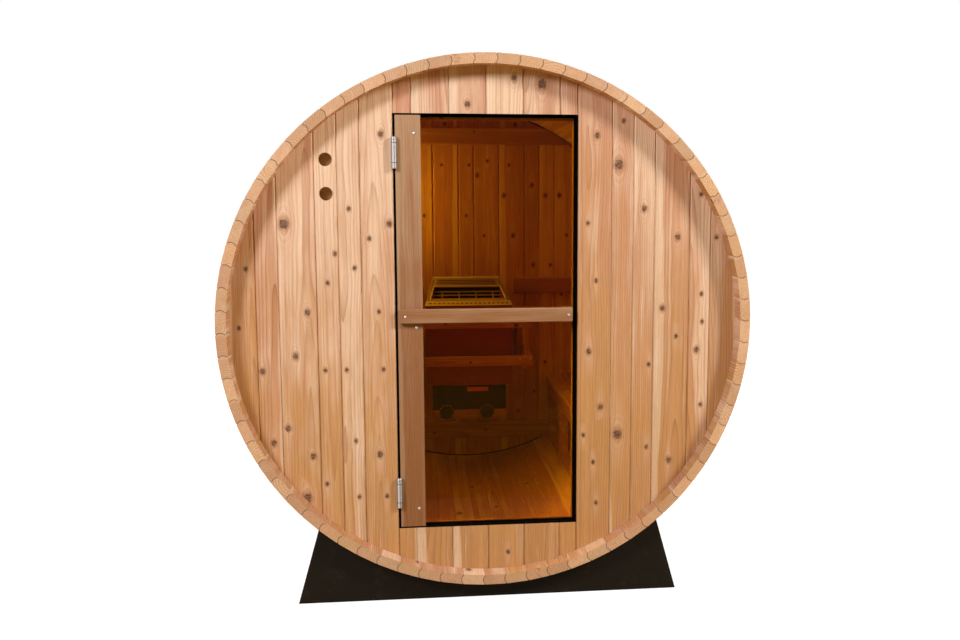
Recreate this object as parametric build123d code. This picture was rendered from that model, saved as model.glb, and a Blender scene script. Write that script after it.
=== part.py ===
"""Barrel sauna: a stave barrel on two cradles, with a glazed door, benches and a wall heater.

Frame: millimetres, +Z up, -Y is the front (door) end, origin on the ground under the middle.
Most sections are drawn on the XZ plane about the barrel's axis and extruded along Y.
"""
from build123d import *
import math
import os

# ---------------------------------------------------------------- barrel shell
BARREL_DIAMETER = 1829.0      # over the outer corners of the staves
BARREL_LENGTH = 1800.0        # from stave end to stave end
STAVE_COUNT = 74
STAVE_THICKNESS = 35.0
STAVE_GAP = 0.2               # play in every bead and cove joint
BEAD_DEPTH = 6.0              # how far a bead enters the next stave's cove
STAVE_CHAMFER = 2.5           # leaves a small V at each joint, inside and out
FIRST_JOINT_ANGLE = 1.53      # degrees clockwise from the top, seen from the front
STAVE_GROUPS = 10             # nodes that the staves are shared between

# ------------------------------------------------------------------- end walls
WALL_THICKNESS = 35.0
WALL_RECESS = 64.0            # from the stave ends to a wall's outer face
CROZE_DEPTH = 9.0             # groove in the staves that holds a wall
CROZE_PLAY = 0.5              # between a wall and its groove, on each side
PANEL_GAP = 0.2               # between neighbouring panels of the front wall
WIDE_BOARD = 127.0
NARROW_BOARD = 76.0
LEFT_JAMB_BOARD = 113.0       # board beside the door opening, hinge side
RIGHT_JAMB_BOARD = 121.0      # board beside the door opening, latch side
SIDE_BOARDS = (NARROW_BOARD, NARROW_BOARD, WIDE_BOARD, NARROW_BOARD)
BACK_FIRST_SEAM = -161.0
BACK_BOARDS_RIGHT = (WIDE_BOARD, NARROW_BOARD, WIDE_BOARD, WIDE_BOARD, NARROW_BOARD,
                     NARROW_BOARD, WIDE_BOARD, NARROW_BOARD, WIDE_BOARD)
BACK_BOARDS_LEFT = (WIDE_BOARD, NARROW_BOARD, NARROW_BOARD, WIDE_BOARD, NARROW_BOARD, WIDE_BOARD)
SEAM_DEPTH = 3.0              # V joint between boards, on both faces

VENT_DIAMETER = 45.5
VENT_X = -547.0
VENT_RIM_GAP = 92.3           # upper vent's middle to the staves
VENT_SPACING = 114.0
VENT_SCREEN_THICKNESS = 1.5
VENT_SCREEN_MARGIN = 15.0

# ------------------------------------------------------------------------ door
OPENING_WIDTH = 630.0
OPENING_HEIGHT = 1439.0
OPENING_CENTRE_X = -6.0
SIDE_CLEARANCE = 7.0          # hinge side, between the jamb and the stile
EDGE_CLEARANCE = 12.0         # around the free edges of the glass
STILE_CLEARANCE = 6.0         # above and below the stile
STILE_WIDTH = 86.0
STILE_THICKNESS = 19.0
INNER_STILE_THICKNESS = 19.0
GLASS_THICKNESS = 6.0
GLASS_LAP = 8.0               # stile edge to the hidden edge of the glass
HANDLE_WIDTH = 48.0
HANDLE_THICKNESS = 22.0
HANDLE_CENTRE = 34.0          # above the barrel's axis
HANDLE_END_INSET = 8.0        # left end of the handle, in from the stile's edge
HANDLE_GLASS_INSET = 7.0      # right end of the handle, in from the glass edge
HANDLE_SPACER = 34.0
INNER_HANDLE_WIDTH = 40.0
INNER_HANDLE_CENTRE = 30.0
INNER_HANDLE_INSET = 27.0     # right end of the inner handle, in from the glass edge

CASING_WIDTH = 64.0
CASING_THICKNESS = 19.0
CASING_GAP = 0.3
STOP_LAP = 19.0               # how far the casing shows inside the opening
STOP_PLAY = 8.0               # inner stile to the stops above and below
GASKET_WIDTH = 10.0
GASKET_THICKNESS = 5.0

HINGE_OFFSET = 588.0          # hinge middle above and below the barrel's axis
HINGE_HEIGHT = 103.0
HINGE_LEAF_THICKNESS = 2.0
HINGE_LEAF_DEPTH = 30.0
KNUCKLE_DIAMETER = 18.5
KNUCKLE_STANDOFF = 10.5       # hinge axis in front of the wall face
END_KNUCKLE = 18.0
KNUCKLE_PLAY = 0.5
PIN_DIAMETER = 6.0
PIN_PLAY = 0.05               # on the radius
PIN_HEAD_DIAMETER = 10.0
PIN_HEAD_HEIGHT = 2.0

# ---------------------------------------------------------- back wall battens
BATTEN_HEIGHT = 81.0
BATTEN_THICKNESS = 30.0
BATTEN_RIM_GAP = 138.7        # middle of the top and bottom battens to the staves above and below
BATTEN_HEATER_GAP = 250.0     # half the gap that the middle battens leave for the heater
BATTEN_FIT = 3.0              # batten ends to the staves

# ---------------------------------------------------------------------- heater
HEATER_CENTRE_X = -2.0
HEATER_WIDTH_FRONT = 411.0
HEATER_WIDTH_BACK = 330.0
HEATER_DEPTH = 256.0
HEATER_WALL_GAP = 55.0
HEATER_BOTTOM = -454.0        # below the barrel's axis, as all heater heights
HEATER_FRONT_TOP = -70.0
HEATER_BACK_TOP = 45.0
HEATER_SIDE_RIM = 18.0        # flanges round the slanted opening
HEATER_FRONT_RIM = 44.0
HEATER_BACK_RIM = 92.0
HEATER_TRAY_DEPTH = 120.0
HEATER_BRACKET_WIDTH = 40.0
HEATER_BRACKET_SPREAD = 180.0
GRILL_BAR = 5.0
GRILL_BARS_ACROSS = 7
GRILL_BARS_ALONG = 4
GRILL_DROP = 18.0             # grill below the tray's slanted rim
CONTROL_WIDTH = 352.0
CONTROL_HEIGHT = 113.0
CONTROL_DEPTH = 170.0
CONTROL_PANEL_DROP = 46.0     # set back panel below the box, which carries the knobs
CONTROL_PANEL_SETBACK = 22.0
KNOB_DIAMETER = 58.0
KNOB_THICKNESS = 20.0
KNOB_SPREAD = 194.0
KNOB_OFFSET = -14.0           # middle of the knobs to the middle of the box
KNOB_BELOW_BOX = 16.0         # knob middle below the control box

# --------------------------------------------------------------- heater guard
GUARD_CENTRE_X = -13.0
GUARD_FRONT_GAP = 80.0        # guard rail to the heater's front
GUARD_HALF_WIDTH = 305.0      # to the posts' outer faces
GUARD_RAIL_HEIGHT = 45.0
GUARD_RAIL_THICKNESS = 19.0
GUARD_POST_WIDTH = 38.0
GUARD_RAIL_TOPS = (-143.0, -302.0)
GUARD_POST_OVERRUN = 20.0

# --------------------------------------------------------------------- benches
BENCH_ABOVE_FLOOR = 422.7     # bench top above the lowest stave's inner face
BENCH_INNER_X = 404.0
SLAT_COUNT = 4
SLAT_THICKNESS = 28.0
SLAT_GAP = 6.0
SLAT_STAVE_GAP = 3.0
BENCH_END_GAP = 2.0
BENCH_REAR_SECTION = 437.0    # length of the far bench section
BENCH_SECTION_GAP = 6.0
APRON_THICKNESS = 38.0
APRON_HEIGHT = 60.0
APRON_SETBACK = 10.0
BEARER_THICKNESS = 38.0
BEARER_END_INSET = 60.0
BENCH_LEG_WIDTH = 60.0

# -------------------------------------------------------------- cradles, bands
CRADLE_CLEARANCE = 63.0       # ground to the lowest stave
CRADLE_THICKNESS = 89.0
CRADLE_INSET = 56.0           # from the stave ends
CRADLE_HALF_BASE = 675.0
CRADLE_HALF_TOP = 595.0
CRADLE_SEAT_PLAY = 0.2
BAND_WIDTH = 32.0
BAND_THICKNESS = 1.2
BAND_INSET = 380.0            # band middle from the stave ends
BAND_PLAY = 0.3
BAND_LUG_ANGLE = 118.0        # degrees clockwise from the top
BAND_LUG_HEIGHT = 24.0
BAND_LUG_THICKNESS = 4.0
BAND_LUG_SPACING = 60.0
BAND_BOLT_DIAMETER = 8.0
BAND_BOLT_OVERRUN = 14.0
BAND_BOLT_PLAY = 0.3

# ------------------------------------------------------------- derived values
RADIUS = BARREL_DIAMETER / 2
HALF_PITCH = 180 / STAVE_COUNT
OUTER_FLAT = RADIUS * math.cos(math.radians(HALF_PITCH))
INNER_FLAT = OUTER_FLAT - STAVE_THICKNESS
AXIS_HEIGHT = CRADLE_CLEARANCE + RADIUS
FRONT_END = -BARREL_LENGTH / 2
BACK_END = BARREL_LENGTH / 2
FRONT_FACE = FRONT_END + WALL_RECESS
FRONT_INSIDE = FRONT_FACE + WALL_THICKNESS
BACK_FACE = BACK_END - WALL_RECESS
BACK_INSIDE = BACK_FACE - WALL_THICKNESS
WALL_RADIUS = INNER_FLAT + CROZE_DEPTH - CROZE_PLAY
UPPER_VENT = math.sqrt((INNER_FLAT - VENT_RIM_GAP) ** 2 - VENT_X**2)
VENT_HEIGHTS = (UPPER_VENT - VENT_SPACING, UPPER_VENT)
BATTEN_OFFSET = INNER_FLAT - BATTEN_RIM_GAP
BENCH_TOP = BENCH_ABOVE_FLOOR - INNER_FLAT

OPENING_LEFT = OPENING_CENTRE_X - OPENING_WIDTH / 2
OPENING_RIGHT = OPENING_CENTRE_X + OPENING_WIDTH / 2
OPENING_TOP = OPENING_HEIGHT / 2
STILE_LEFT = OPENING_LEFT + SIDE_CLEARANCE
STILE_RIGHT = STILE_LEFT + STILE_WIDTH
STILE_TOP = OPENING_TOP - STILE_CLEARANCE
STILE_BACK = FRONT_FACE + STILE_THICKNESS
GLASS_BACK = STILE_BACK + GLASS_THICKNESS
GLASS_LEFT = STILE_LEFT + GLASS_LAP
GLASS_RIGHT = OPENING_RIGHT - EDGE_CLEARANCE
GLASS_TOP = OPENING_TOP - EDGE_CLEARANCE
HINGE_X = OPENING_LEFT + SIDE_CLEARANCE / 2
HINGE_Y = FRONT_FACE - KNUCKLE_STANDOFF

HEATER_BACK = BACK_INSIDE - HEATER_WALL_GAP
HEATER_FRONT = HEATER_BACK - HEATER_DEPTH


# -------------------------------------------------------------------- helpers
def block(x_range, y_range, z_range):
    """A box between two X, two Y and two Z values, the Z values measured from the barrel's axis."""
    sizes = [high - low for low, high in (x_range, y_range, z_range)]
    middle = [(low + high) / 2 for low, high in (x_range, y_range, z_range)]
    return Pos(middle[0], middle[1], middle[2] + AXIS_HEIGHT) * Box(*sizes)


def bar_along_y(section, y_range):
    """Extrude a section, drawn with X across and Z up, between two Y values."""
    front, back = y_range
    start = Plane.XZ * (Pos(0, 0, -front) * section)
    return extrude(start, amount=back - front, dir=(0, 1, 0))


def along_y(section, y_range):
    """The same, for a section drawn about the barrel's axis."""
    return Pos(0, 0, AXIS_HEIGHT) * bar_along_y(section, y_range)


def round_clock(angle):
    """The turn about the barrel's axis that takes the top to an angle clockwise from it."""
    return Pos(0, 0, AXIS_HEIGHT) * Rot(0, angle, 0)


def mirrored(shape):
    """The same shape on the other side of the barrel's middle plane."""
    return mirror(shape, about=Plane.YZ)


def rod(diameter, y_range, x, z):
    """A round bar along Y."""
    return along_y(Pos(x, z) * Circle(diameter / 2), y_range)


def save(name, *solids):
    """Write one node, whose solids don't touch each other."""
    shape = solids[0] if len(solids) == 1 else Compound(children=list(solids))
    export_step(shape, os.path.join("parts", name + ".step"))


# --------------------------------------------------------------------- staves
def stave_joint(side):
    """Outer, middle and inner points of a joint: side is 1 on the bead and -1 on the cove."""
    outer = OUTER_FLAT - STAVE_CHAMFER
    inner = INNER_FLAT + STAVE_CHAMFER
    stations = [(0, outer), (BEAD_DEPTH, (outer + inner) / 2), (0, inner)]
    return [
        Vector(across - side * STAVE_GAP / 2, up).rotate(Axis.Z, -side * HALF_PITCH)
        for across, up in stations
    ]


def stave_section():
    """Flat faces, a bead on the clockwise edge and a cove on the other."""
    slope = math.tan(math.radians(HALF_PITCH))
    outer_half = OUTER_FLAT * slope - STAVE_CHAMFER
    inner_half = INNER_FLAT * slope - STAVE_CHAMFER
    bead = stave_joint(1)
    cove = stave_joint(-1)
    outline = [
        Line((-outer_half, OUTER_FLAT), (outer_half, OUTER_FLAT)),
        Line((outer_half, OUTER_FLAT), bead[0]),
        ThreePointArc(*bead),
        Line(bead[2], (inner_half, INNER_FLAT)),
        Line((inner_half, INNER_FLAT), (-inner_half, INNER_FLAT)),
        Line((-inner_half, INNER_FLAT), cove[2]),
        ThreePointArc(*reversed(cove)),
        Line(cove[0], (-outer_half, OUTER_FLAT)),
    ]
    return Face(Wire(outline))


def stave():
    """One stave at the top of the barrel, about its axis, with a croze for each end wall."""
    body = bar_along_y(stave_section(), (FRONT_END, BACK_END))
    width = 4 * RADIUS * math.sin(math.radians(HALF_PITCH))
    for front, back in ((FRONT_FACE, FRONT_INSIDE), (BACK_INSIDE, BACK_FACE)):
        length = back - front + 2 * CROZE_PLAY
        croze = Box(width, length, 2 * CROZE_DEPTH)
        body -= Pos(0, (front + back) / 2, INNER_FLAT) * croze
    return body


def make_staves():
    """All staves, shared between nodes in clockwise order from the top."""
    pattern = stave()
    for group in range(STAVE_GROUPS):
        first = round(group * STAVE_COUNT / STAVE_GROUPS)
        last = round((group + 1) * STAVE_COUNT / STAVE_GROUPS)
        angles = [FIRST_JOINT_ANGLE + (2 * index + 1) * HALF_PITCH for index in range(first, last)]
        save(f"staves_{group + 1:02d}", *[round_clock(angle) * pattern for angle in angles])


# ------------------------------------------------------------------ end walls
def board_seams(start, widths, direction):
    """X of each seam on one side of a starting edge."""
    seams = []
    for width in widths:
        start += direction * width
        seams.append(start)
    return seams


def wall_panel(section, y_range, seams):
    """A panel of tongue and groove boards: V joints on both faces at each seam."""
    panel = along_y(section, y_range)
    side = SEAM_DEPTH * math.sqrt(2)
    for seam in seams:
        for face in y_range:
            panel -= Pos(seam, face, AXIS_HEIGHT) * Rot(0, 0, 45) * Box(side, side, BARREL_DIAMETER)
    return panel


def disc_part(x_range, z_range):
    """The part of an end wall's disc that lies between two X and two Z values."""
    width = x_range[1] - x_range[0]
    height = z_range[1] - z_range[0]
    middle = Pos(sum(x_range) / 2, sum(z_range) / 2)
    return Circle(WALL_RADIUS) & (middle * Rectangle(width, height))


def make_front_wall():
    """Four panels round the door opening, with two vents and the hinge mortises."""
    across = (FRONT_FACE, FRONT_INSIDE)
    full = (-WALL_RADIUS, WALL_RADIUS)
    left_seams = board_seams(OPENING_LEFT, (LEFT_JAMB_BOARD,) + SIDE_BOARDS, -1)
    right_seams = board_seams(OPENING_RIGHT, (RIGHT_JAMB_BOARD,) + SIDE_BOARDS, 1)

    left = wall_panel(disc_part((-WALL_RADIUS, OPENING_LEFT), full), across, left_seams)
    for height in VENT_HEIGHTS:
        left -= rod(VENT_DIAMETER, (FRONT_FACE, FRONT_INSIDE), VENT_X, height)
    for middle in (-HINGE_OFFSET, HINGE_OFFSET):
        left -= block(
            (OPENING_LEFT - HINGE_LEAF_THICKNESS, OPENING_LEFT),
            (FRONT_FACE, FRONT_FACE + HINGE_LEAF_DEPTH),
            (middle - HINGE_HEIGHT / 2, middle + HINGE_HEIGHT / 2),
        )
    right = wall_panel(disc_part((OPENING_RIGHT, WALL_RADIUS), full), across, right_seams)
    save("front_wall_left", left)
    save("front_wall_right", right)

    short_x = (OPENING_LEFT + PANEL_GAP, OPENING_RIGHT - PANEL_GAP)
    count = int(OPENING_WIDTH / 2 / WIDE_BOARD)
    short_seams = [OPENING_CENTRE_X + index * WIDE_BOARD for index in range(-count, count + 1)]
    over = disc_part(short_x, (OPENING_TOP, WALL_RADIUS))
    under = disc_part(short_x, (-WALL_RADIUS, -OPENING_TOP))
    save("front_wall_over_door", wall_panel(over, across, short_seams))
    save("front_wall_under_door", wall_panel(under, across, short_seams))


def make_back_wall():
    """A full disc of boards, with battens across its inner face."""
    seams = [BACK_FIRST_SEAM]
    seams += board_seams(BACK_FIRST_SEAM, BACK_BOARDS_RIGHT, 1)
    seams += board_seams(BACK_FIRST_SEAM, BACK_BOARDS_LEFT, -1)
    save("back_wall", wall_panel(Circle(WALL_RADIUS), (BACK_INSIDE, BACK_FACE), seams))

    depth = (BACK_INSIDE - BATTEN_THICKNESS, BACK_INSIDE)
    room = Circle(INNER_FLAT - BATTEN_FIT)
    half = BATTEN_HEIGHT / 2
    top = room & (Pos(0, BATTEN_OFFSET) * Rectangle(BARREL_DIAMETER, BATTEN_HEIGHT))
    bottom = room & (Pos(0, -BATTEN_OFFSET) * Rectangle(BARREL_DIAMETER, BATTEN_HEIGHT))
    middle = along_y(room & Rectangle(BARREL_DIAMETER, BATTEN_HEIGHT), depth)
    heater_gap = block(
        (GUARD_CENTRE_X - BATTEN_HEATER_GAP, GUARD_CENTRE_X + BATTEN_HEATER_GAP), depth, (-half, half)
    )
    middle_battens = (middle - heater_gap).solids()
    save("back_wall_battens", along_y(top, depth), *middle_battens, along_y(bottom, depth))


def make_vent_screen():
    """A thin plate over the inner ends of both vents."""
    margin = VENT_DIAMETER / 2 + VENT_SCREEN_MARGIN
    screen = block(
        (VENT_X - margin, VENT_X + margin),
        (FRONT_INSIDE, FRONT_INSIDE + VENT_SCREEN_THICKNESS),
        (min(VENT_HEIGHTS) - margin, max(VENT_HEIGHTS) + margin),
    )
    save("vent_screen", screen)


# ----------------------------------------------------------------------- door
def make_casing():
    """Boards round the inside of the opening, which also stop the door, and the gasket on them."""
    depth = (FRONT_INSIDE, FRONT_INSIDE + CASING_THICKNESS)
    inner_top = OPENING_TOP - STOP_LAP
    outer_top = inner_top + CASING_WIDTH
    right_edge = OPENING_RIGHT - STOP_LAP
    left = block((OPENING_LEFT - CASING_WIDTH, OPENING_LEFT), depth, (-outer_top, outer_top))
    right = block((right_edge, right_edge + CASING_WIDTH), depth, (-outer_top, outer_top))
    between = (OPENING_LEFT + CASING_GAP, right_edge - CASING_GAP)
    top = block(between, depth, (inner_top, outer_top))
    bottom = block(between, depth, (-outer_top, -inner_top))
    save("door_casing", left, right, top, bottom)

    front = (FRONT_INSIDE - GASKET_THICKNESS, FRONT_INSIDE)
    gasket_inner = OPENING_TOP - GASKET_WIDTH
    side = block((OPENING_RIGHT - GASKET_WIDTH, OPENING_RIGHT), front, (-OPENING_TOP, OPENING_TOP))
    across = (OPENING_LEFT, OPENING_RIGHT - GASKET_WIDTH - CASING_GAP)
    upper = block(across, front, (gasket_inner, OPENING_TOP))
    lower = block(across, front, (-OPENING_TOP, -gasket_inner))
    save("door_gasket", side, upper, lower)


def make_hinge(name, middle):
    """A butt hinge let into the jamb and the stile: two leaves and a headed pin."""
    bottom = middle - HINGE_HEIGHT / 2
    top = middle + HINGE_HEIGHT / 2
    plate_y = (FRONT_FACE, FRONT_FACE + HINGE_LEAF_DEPTH)
    neck_y = (HINGE_Y, FRONT_FACE)
    bore = PIN_DIAMETER / 2 + PIN_PLAY

    def upright(radius, z_range):
        centre = Pos(HINGE_X, HINGE_Y, AXIS_HEIGHT + sum(z_range) / 2)
        return centre * Cylinder(radius, z_range[1] - z_range[0])

    def leaf(x_range, knuckles):
        shape = block(x_range, plate_y, (bottom, top))
        for z_range in knuckles:
            shape += block(x_range, neck_y, z_range) + upright(KNUCKLE_DIAMETER / 2, z_range)
        return shape - upright(bore, (bottom, top))

    wall_x = (OPENING_LEFT - HINGE_LEAF_THICKNESS, OPENING_LEFT)
    door_x = (STILE_LEFT, STILE_LEFT + HINGE_LEAF_THICKNESS)
    ends = [(bottom, bottom + END_KNUCKLE), (top - END_KNUCKLE, top)]
    long_knuckle = (ends[0][1] + KNUCKLE_PLAY, ends[1][0] - KNUCKLE_PLAY)
    pin = upright(PIN_DIAMETER / 2, (bottom, top))
    pin += upright(PIN_HEAD_DIAMETER / 2, (top, top + PIN_HEAD_HEIGHT))
    save(f"hinge_{name}_wall_leaf", leaf(wall_x, ends))
    save(f"hinge_{name}_door_leaf", leaf(door_x, [long_knuckle]))
    save(f"hinge_{name}_pin", pin)


def make_door():
    """A frameless pane held between two stiles, with a wooden bar handle on each side."""
    stile = block((STILE_LEFT, STILE_RIGHT), (FRONT_FACE, STILE_BACK), (-STILE_TOP, STILE_TOP))
    inner_top = OPENING_TOP - STOP_LAP - STOP_PLAY
    inner_back = GLASS_BACK + INNER_STILE_THICKNESS
    inner_stile = block((STILE_LEFT, STILE_RIGHT), (GLASS_BACK, inner_back), (-inner_top, inner_top))
    glass = block((GLASS_LEFT, GLASS_RIGHT), (STILE_BACK, GLASS_BACK), (-GLASS_TOP, GLASS_TOP))
    for middle in (-HINGE_OFFSET, HINGE_OFFSET):
        mortise = block(
            (STILE_LEFT, STILE_LEFT + HINGE_LEAF_THICKNESS),
            (FRONT_FACE, FRONT_FACE + HINGE_LEAF_DEPTH),
            (middle - HINGE_HEIGHT / 2, middle + HINGE_HEIGHT / 2),
        )
        stile -= mortise
        inner_stile -= mortise
    save("door_stile", stile)
    save("door_inner_stile", inner_stile)
    save("door_glass", glass)

    handle_z = (HANDLE_CENTRE - HANDLE_WIDTH / 2, HANDLE_CENTRE + HANDLE_WIDTH / 2)
    handle_left = STILE_LEFT + HANDLE_END_INSET
    handle_right = GLASS_RIGHT - HANDLE_GLASS_INSET
    handle = block((handle_left, handle_right), (FRONT_FACE - HANDLE_THICKNESS, FRONT_FACE), handle_z)
    handle += block((handle_right - HANDLE_SPACER, handle_right), (FRONT_FACE, STILE_BACK), handle_z)
    save("door_handle_outer", handle)

    inner_z = (INNER_HANDLE_CENTRE - INNER_HANDLE_WIDTH / 2, INNER_HANDLE_CENTRE + INNER_HANDLE_WIDTH / 2)
    inner_right = GLASS_RIGHT - INNER_HANDLE_INSET
    grip = block((handle_left, inner_right), (inner_back, inner_back + HANDLE_THICKNESS), inner_z)
    grip += block((inner_right - HANDLE_SPACER, inner_right), (GLASS_BACK, inner_back), inner_z)
    save("door_handle_inner", grip)


# --------------------------------------------------------------------- heater
def heater_plan(inset):
    """The heater seen from above: wider in front than at the back."""
    front = HEATER_WIDTH_FRONT / 2 - inset
    back = HEATER_WIDTH_BACK / 2 - inset
    y_front = HEATER_FRONT + inset
    y_back = HEATER_BACK - inset
    corners = [(-front, y_front), (front, y_front), (back, y_back), (-back, y_back)]
    return Pos(HEATER_CENTRE_X, 0) * Face(Wire(Polyline(*corners, close=True)))


def heater_column(inset, bottom, top):
    """The plan of the heater raised between two heights."""
    return extrude(Pos(0, 0, AXIS_HEIGHT + bottom) * heater_plan(inset), amount=top - bottom)


def above_slant(drop):
    """The space above the heater's slanted top, lowered by a distance."""
    height = HEATER_BACK_TOP - HEATER_BOTTOM
    profile = [
        (HEATER_FRONT, HEATER_FRONT_TOP - drop),
        (HEATER_BACK, HEATER_BACK_TOP - drop),
        (HEATER_BACK, HEATER_BACK_TOP + height),
        (HEATER_FRONT, HEATER_BACK_TOP + height),
    ]
    side = Plane.YZ * Face(Wire(Polyline(*profile, close=True)))
    start = Pos(HEATER_CENTRE_X - HEATER_WIDTH_FRONT, 0, AXIS_HEIGHT)
    return extrude(start * side, amount=2 * HEATER_WIDTH_FRONT, dir=(1, 0, 0))


def make_heater():
    """A steel jacket, a slanted top with an open tray, a grill, and a control box with two knobs."""
    tray_bottom = HEATER_FRONT_TOP - HEATER_TRAY_DEPTH
    tray = heater_column(HEATER_SIDE_RIM, tray_bottom, HEATER_BACK_TOP) & block(
        (-RADIUS, RADIUS),
        (HEATER_FRONT + HEATER_FRONT_RIM, HEATER_BACK - HEATER_BACK_RIM),
        (tray_bottom, HEATER_BACK_TOP),
    )
    save("heater_top", heater_column(0, tray_bottom, HEATER_BACK_TOP) - above_slant(0) - tray)

    jacket = heater_column(0, HEATER_BOTTOM, tray_bottom)
    for side in (-1, 1):
        middle = HEATER_CENTRE_X + side * HEATER_BRACKET_SPREAD / 2
        jacket += block(
            (middle - HEATER_BRACKET_WIDTH / 2, middle + HEATER_BRACKET_WIDTH / 2),
            (HEATER_BACK, BACK_INSIDE),
            (HEATER_BOTTOM, HEATER_FRONT_TOP),
        )
    save("heater_body", jacket)

    bars = Part()
    for index in range(1, GRILL_BARS_ACROSS + 1):
        y = HEATER_FRONT + HEATER_DEPTH * index / (GRILL_BARS_ACROSS + 1)
        bars += block(
            (HEATER_CENTRE_X - HEATER_WIDTH_FRONT / 2, HEATER_CENTRE_X + HEATER_WIDTH_FRONT / 2),
            (y - GRILL_BAR / 2, y + GRILL_BAR / 2),
            (tray_bottom, HEATER_BACK_TOP),
        )
    for index in range(1, GRILL_BARS_ALONG + 1):
        x = HEATER_CENTRE_X + HEATER_WIDTH_FRONT * (index / (GRILL_BARS_ALONG + 1) - 0.5)
        bars += block(
            (x - GRILL_BAR / 2, x + GRILL_BAR / 2),
            (HEATER_FRONT, HEATER_BACK),
            (tray_bottom, HEATER_BACK_TOP),
        )
    layer = above_slant(GRILL_DROP + GRILL_BAR) - above_slant(GRILL_DROP)
    save("heater_grill", bars & layer & tray)

    half = CONTROL_WIDTH / 2
    box_bottom = HEATER_BOTTOM - CONTROL_HEIGHT
    control_x = (HEATER_CENTRE_X - half, HEATER_CENTRE_X + half)
    panel_front = HEATER_FRONT + CONTROL_PANEL_SETBACK
    control = block(control_x, (HEATER_FRONT, HEATER_FRONT + CONTROL_DEPTH), (box_bottom, HEATER_BOTTOM))
    control += block(
        control_x,
        (panel_front, HEATER_FRONT + CONTROL_DEPTH),
        (box_bottom - CONTROL_PANEL_DROP, box_bottom),
    )
    save("heater_control_box", control)
    knob_z = box_bottom - KNOB_BELOW_BOX
    knob_y = (panel_front - KNOB_THICKNESS, panel_front)
    knob_middle = HEATER_CENTRE_X + KNOB_OFFSET
    knobs = [
        rod(KNOB_DIAMETER, knob_y, knob_middle + side * KNOB_SPREAD / 2, knob_z) for side in (-1, 1)
    ]
    save("heater_knobs", *[knob - control for knob in knobs])


def make_heater_guard():
    """Two rails round the heater on four posts, fixed to the back wall."""
    front = HEATER_FRONT - GUARD_FRONT_GAP
    outer = (GUARD_CENTRE_X - GUARD_HALF_WIDTH, GUARD_CENTRE_X + GUARD_HALF_WIDTH)
    rail_y = (front - GUARD_RAIL_THICKNESS, front)
    post_z = (
        min(GUARD_RAIL_TOPS) - GUARD_RAIL_HEIGHT - GUARD_POST_OVERRUN,
        max(GUARD_RAIL_TOPS) + GUARD_POST_OVERRUN,
    )
    side_rails = [
        (outer[0], outer[0] + GUARD_RAIL_THICKNESS),
        (outer[1] - GUARD_RAIL_THICKNESS, outer[1]),
    ]
    guard = Part()
    for top in GUARD_RAIL_TOPS:
        rail_z = (top - GUARD_RAIL_HEIGHT, top)
        guard += block(outer, rail_y, rail_z)
        for side_x in side_rails:
            guard += block(side_x, (front, BACK_INSIDE), rail_z)
    for low, high in ((outer[0], outer[0] + GUARD_POST_WIDTH), (outer[1] - GUARD_POST_WIDTH, outer[1])):
        for post_y in ((front, front + GUARD_POST_WIDTH), (BACK_INSIDE - GUARD_POST_WIDTH, BACK_INSIDE)):
            guard += block((low, high), post_y, post_z)
    save("heater_guard", guard)


# -------------------------------------------------------------------- benches
def bench_seat():
    """Right bench: slats along the barrel in two sections."""
    bottom = BENCH_TOP - SLAT_THICKNESS
    outer_x = math.sqrt(INNER_FLAT**2 - bottom**2) - SLAT_STAVE_GAP
    width = (outer_x - BENCH_INNER_X - (SLAT_COUNT - 1) * SLAT_GAP) / SLAT_COUNT
    back = BACK_INSIDE - BENCH_END_GAP
    split = back - BENCH_REAR_SECTION
    sections = [(FRONT_INSIDE + BENCH_END_GAP, split - BENCH_SECTION_GAP), (split, back)]
    slats = []
    for index in range(SLAT_COUNT):
        left = BENCH_INNER_X + index * (width + SLAT_GAP)
        for section in sections:
            slats.append(block((left, left + width), section, (bottom, BENCH_TOP)))
    return slats


def bench_frame():
    """Right bench: an apron under the inner edge, bearers out to the staves, and legs."""
    top = BENCH_TOP - SLAT_THICKNESS
    ends = (FRONT_INSIDE + BENCH_END_GAP, BACK_INSIDE - BENCH_END_GAP)
    apron_x = (BENCH_INNER_X + APRON_SETBACK, BENCH_INNER_X + APRON_SETBACK + APRON_THICKNESS)
    frame = block(apron_x, ends, (top - APRON_HEIGHT, top))
    split = ends[1] - BENCH_REAR_SECTION - BENCH_SECTION_GAP / 2
    for middle in (ends[0] + BEARER_END_INSET, split, ends[1] - BEARER_END_INSET):
        bearer_y = (middle - BEARER_THICKNESS / 2, middle + BEARER_THICKNESS / 2)
        frame += block((apron_x[0], RADIUS), bearer_y, (top - APRON_HEIGHT, top))
        leg_y = (middle - BENCH_LEG_WIDTH / 2, middle + BENCH_LEG_WIDTH / 2)
        frame += block(apron_x, leg_y, (-RADIUS, top))
    return frame & along_y(Circle(INNER_FLAT - CRADLE_SEAT_PLAY), ends)


def make_benches():
    """A bench along each side."""
    seat = bench_seat()
    frame = bench_frame()
    save("bench_right_seat", *seat)
    save("bench_left_seat", *[mirrored(slat) for slat in seat])
    save("bench_right_frame", frame)
    save("bench_left_frame", mirrored(frame))


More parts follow.
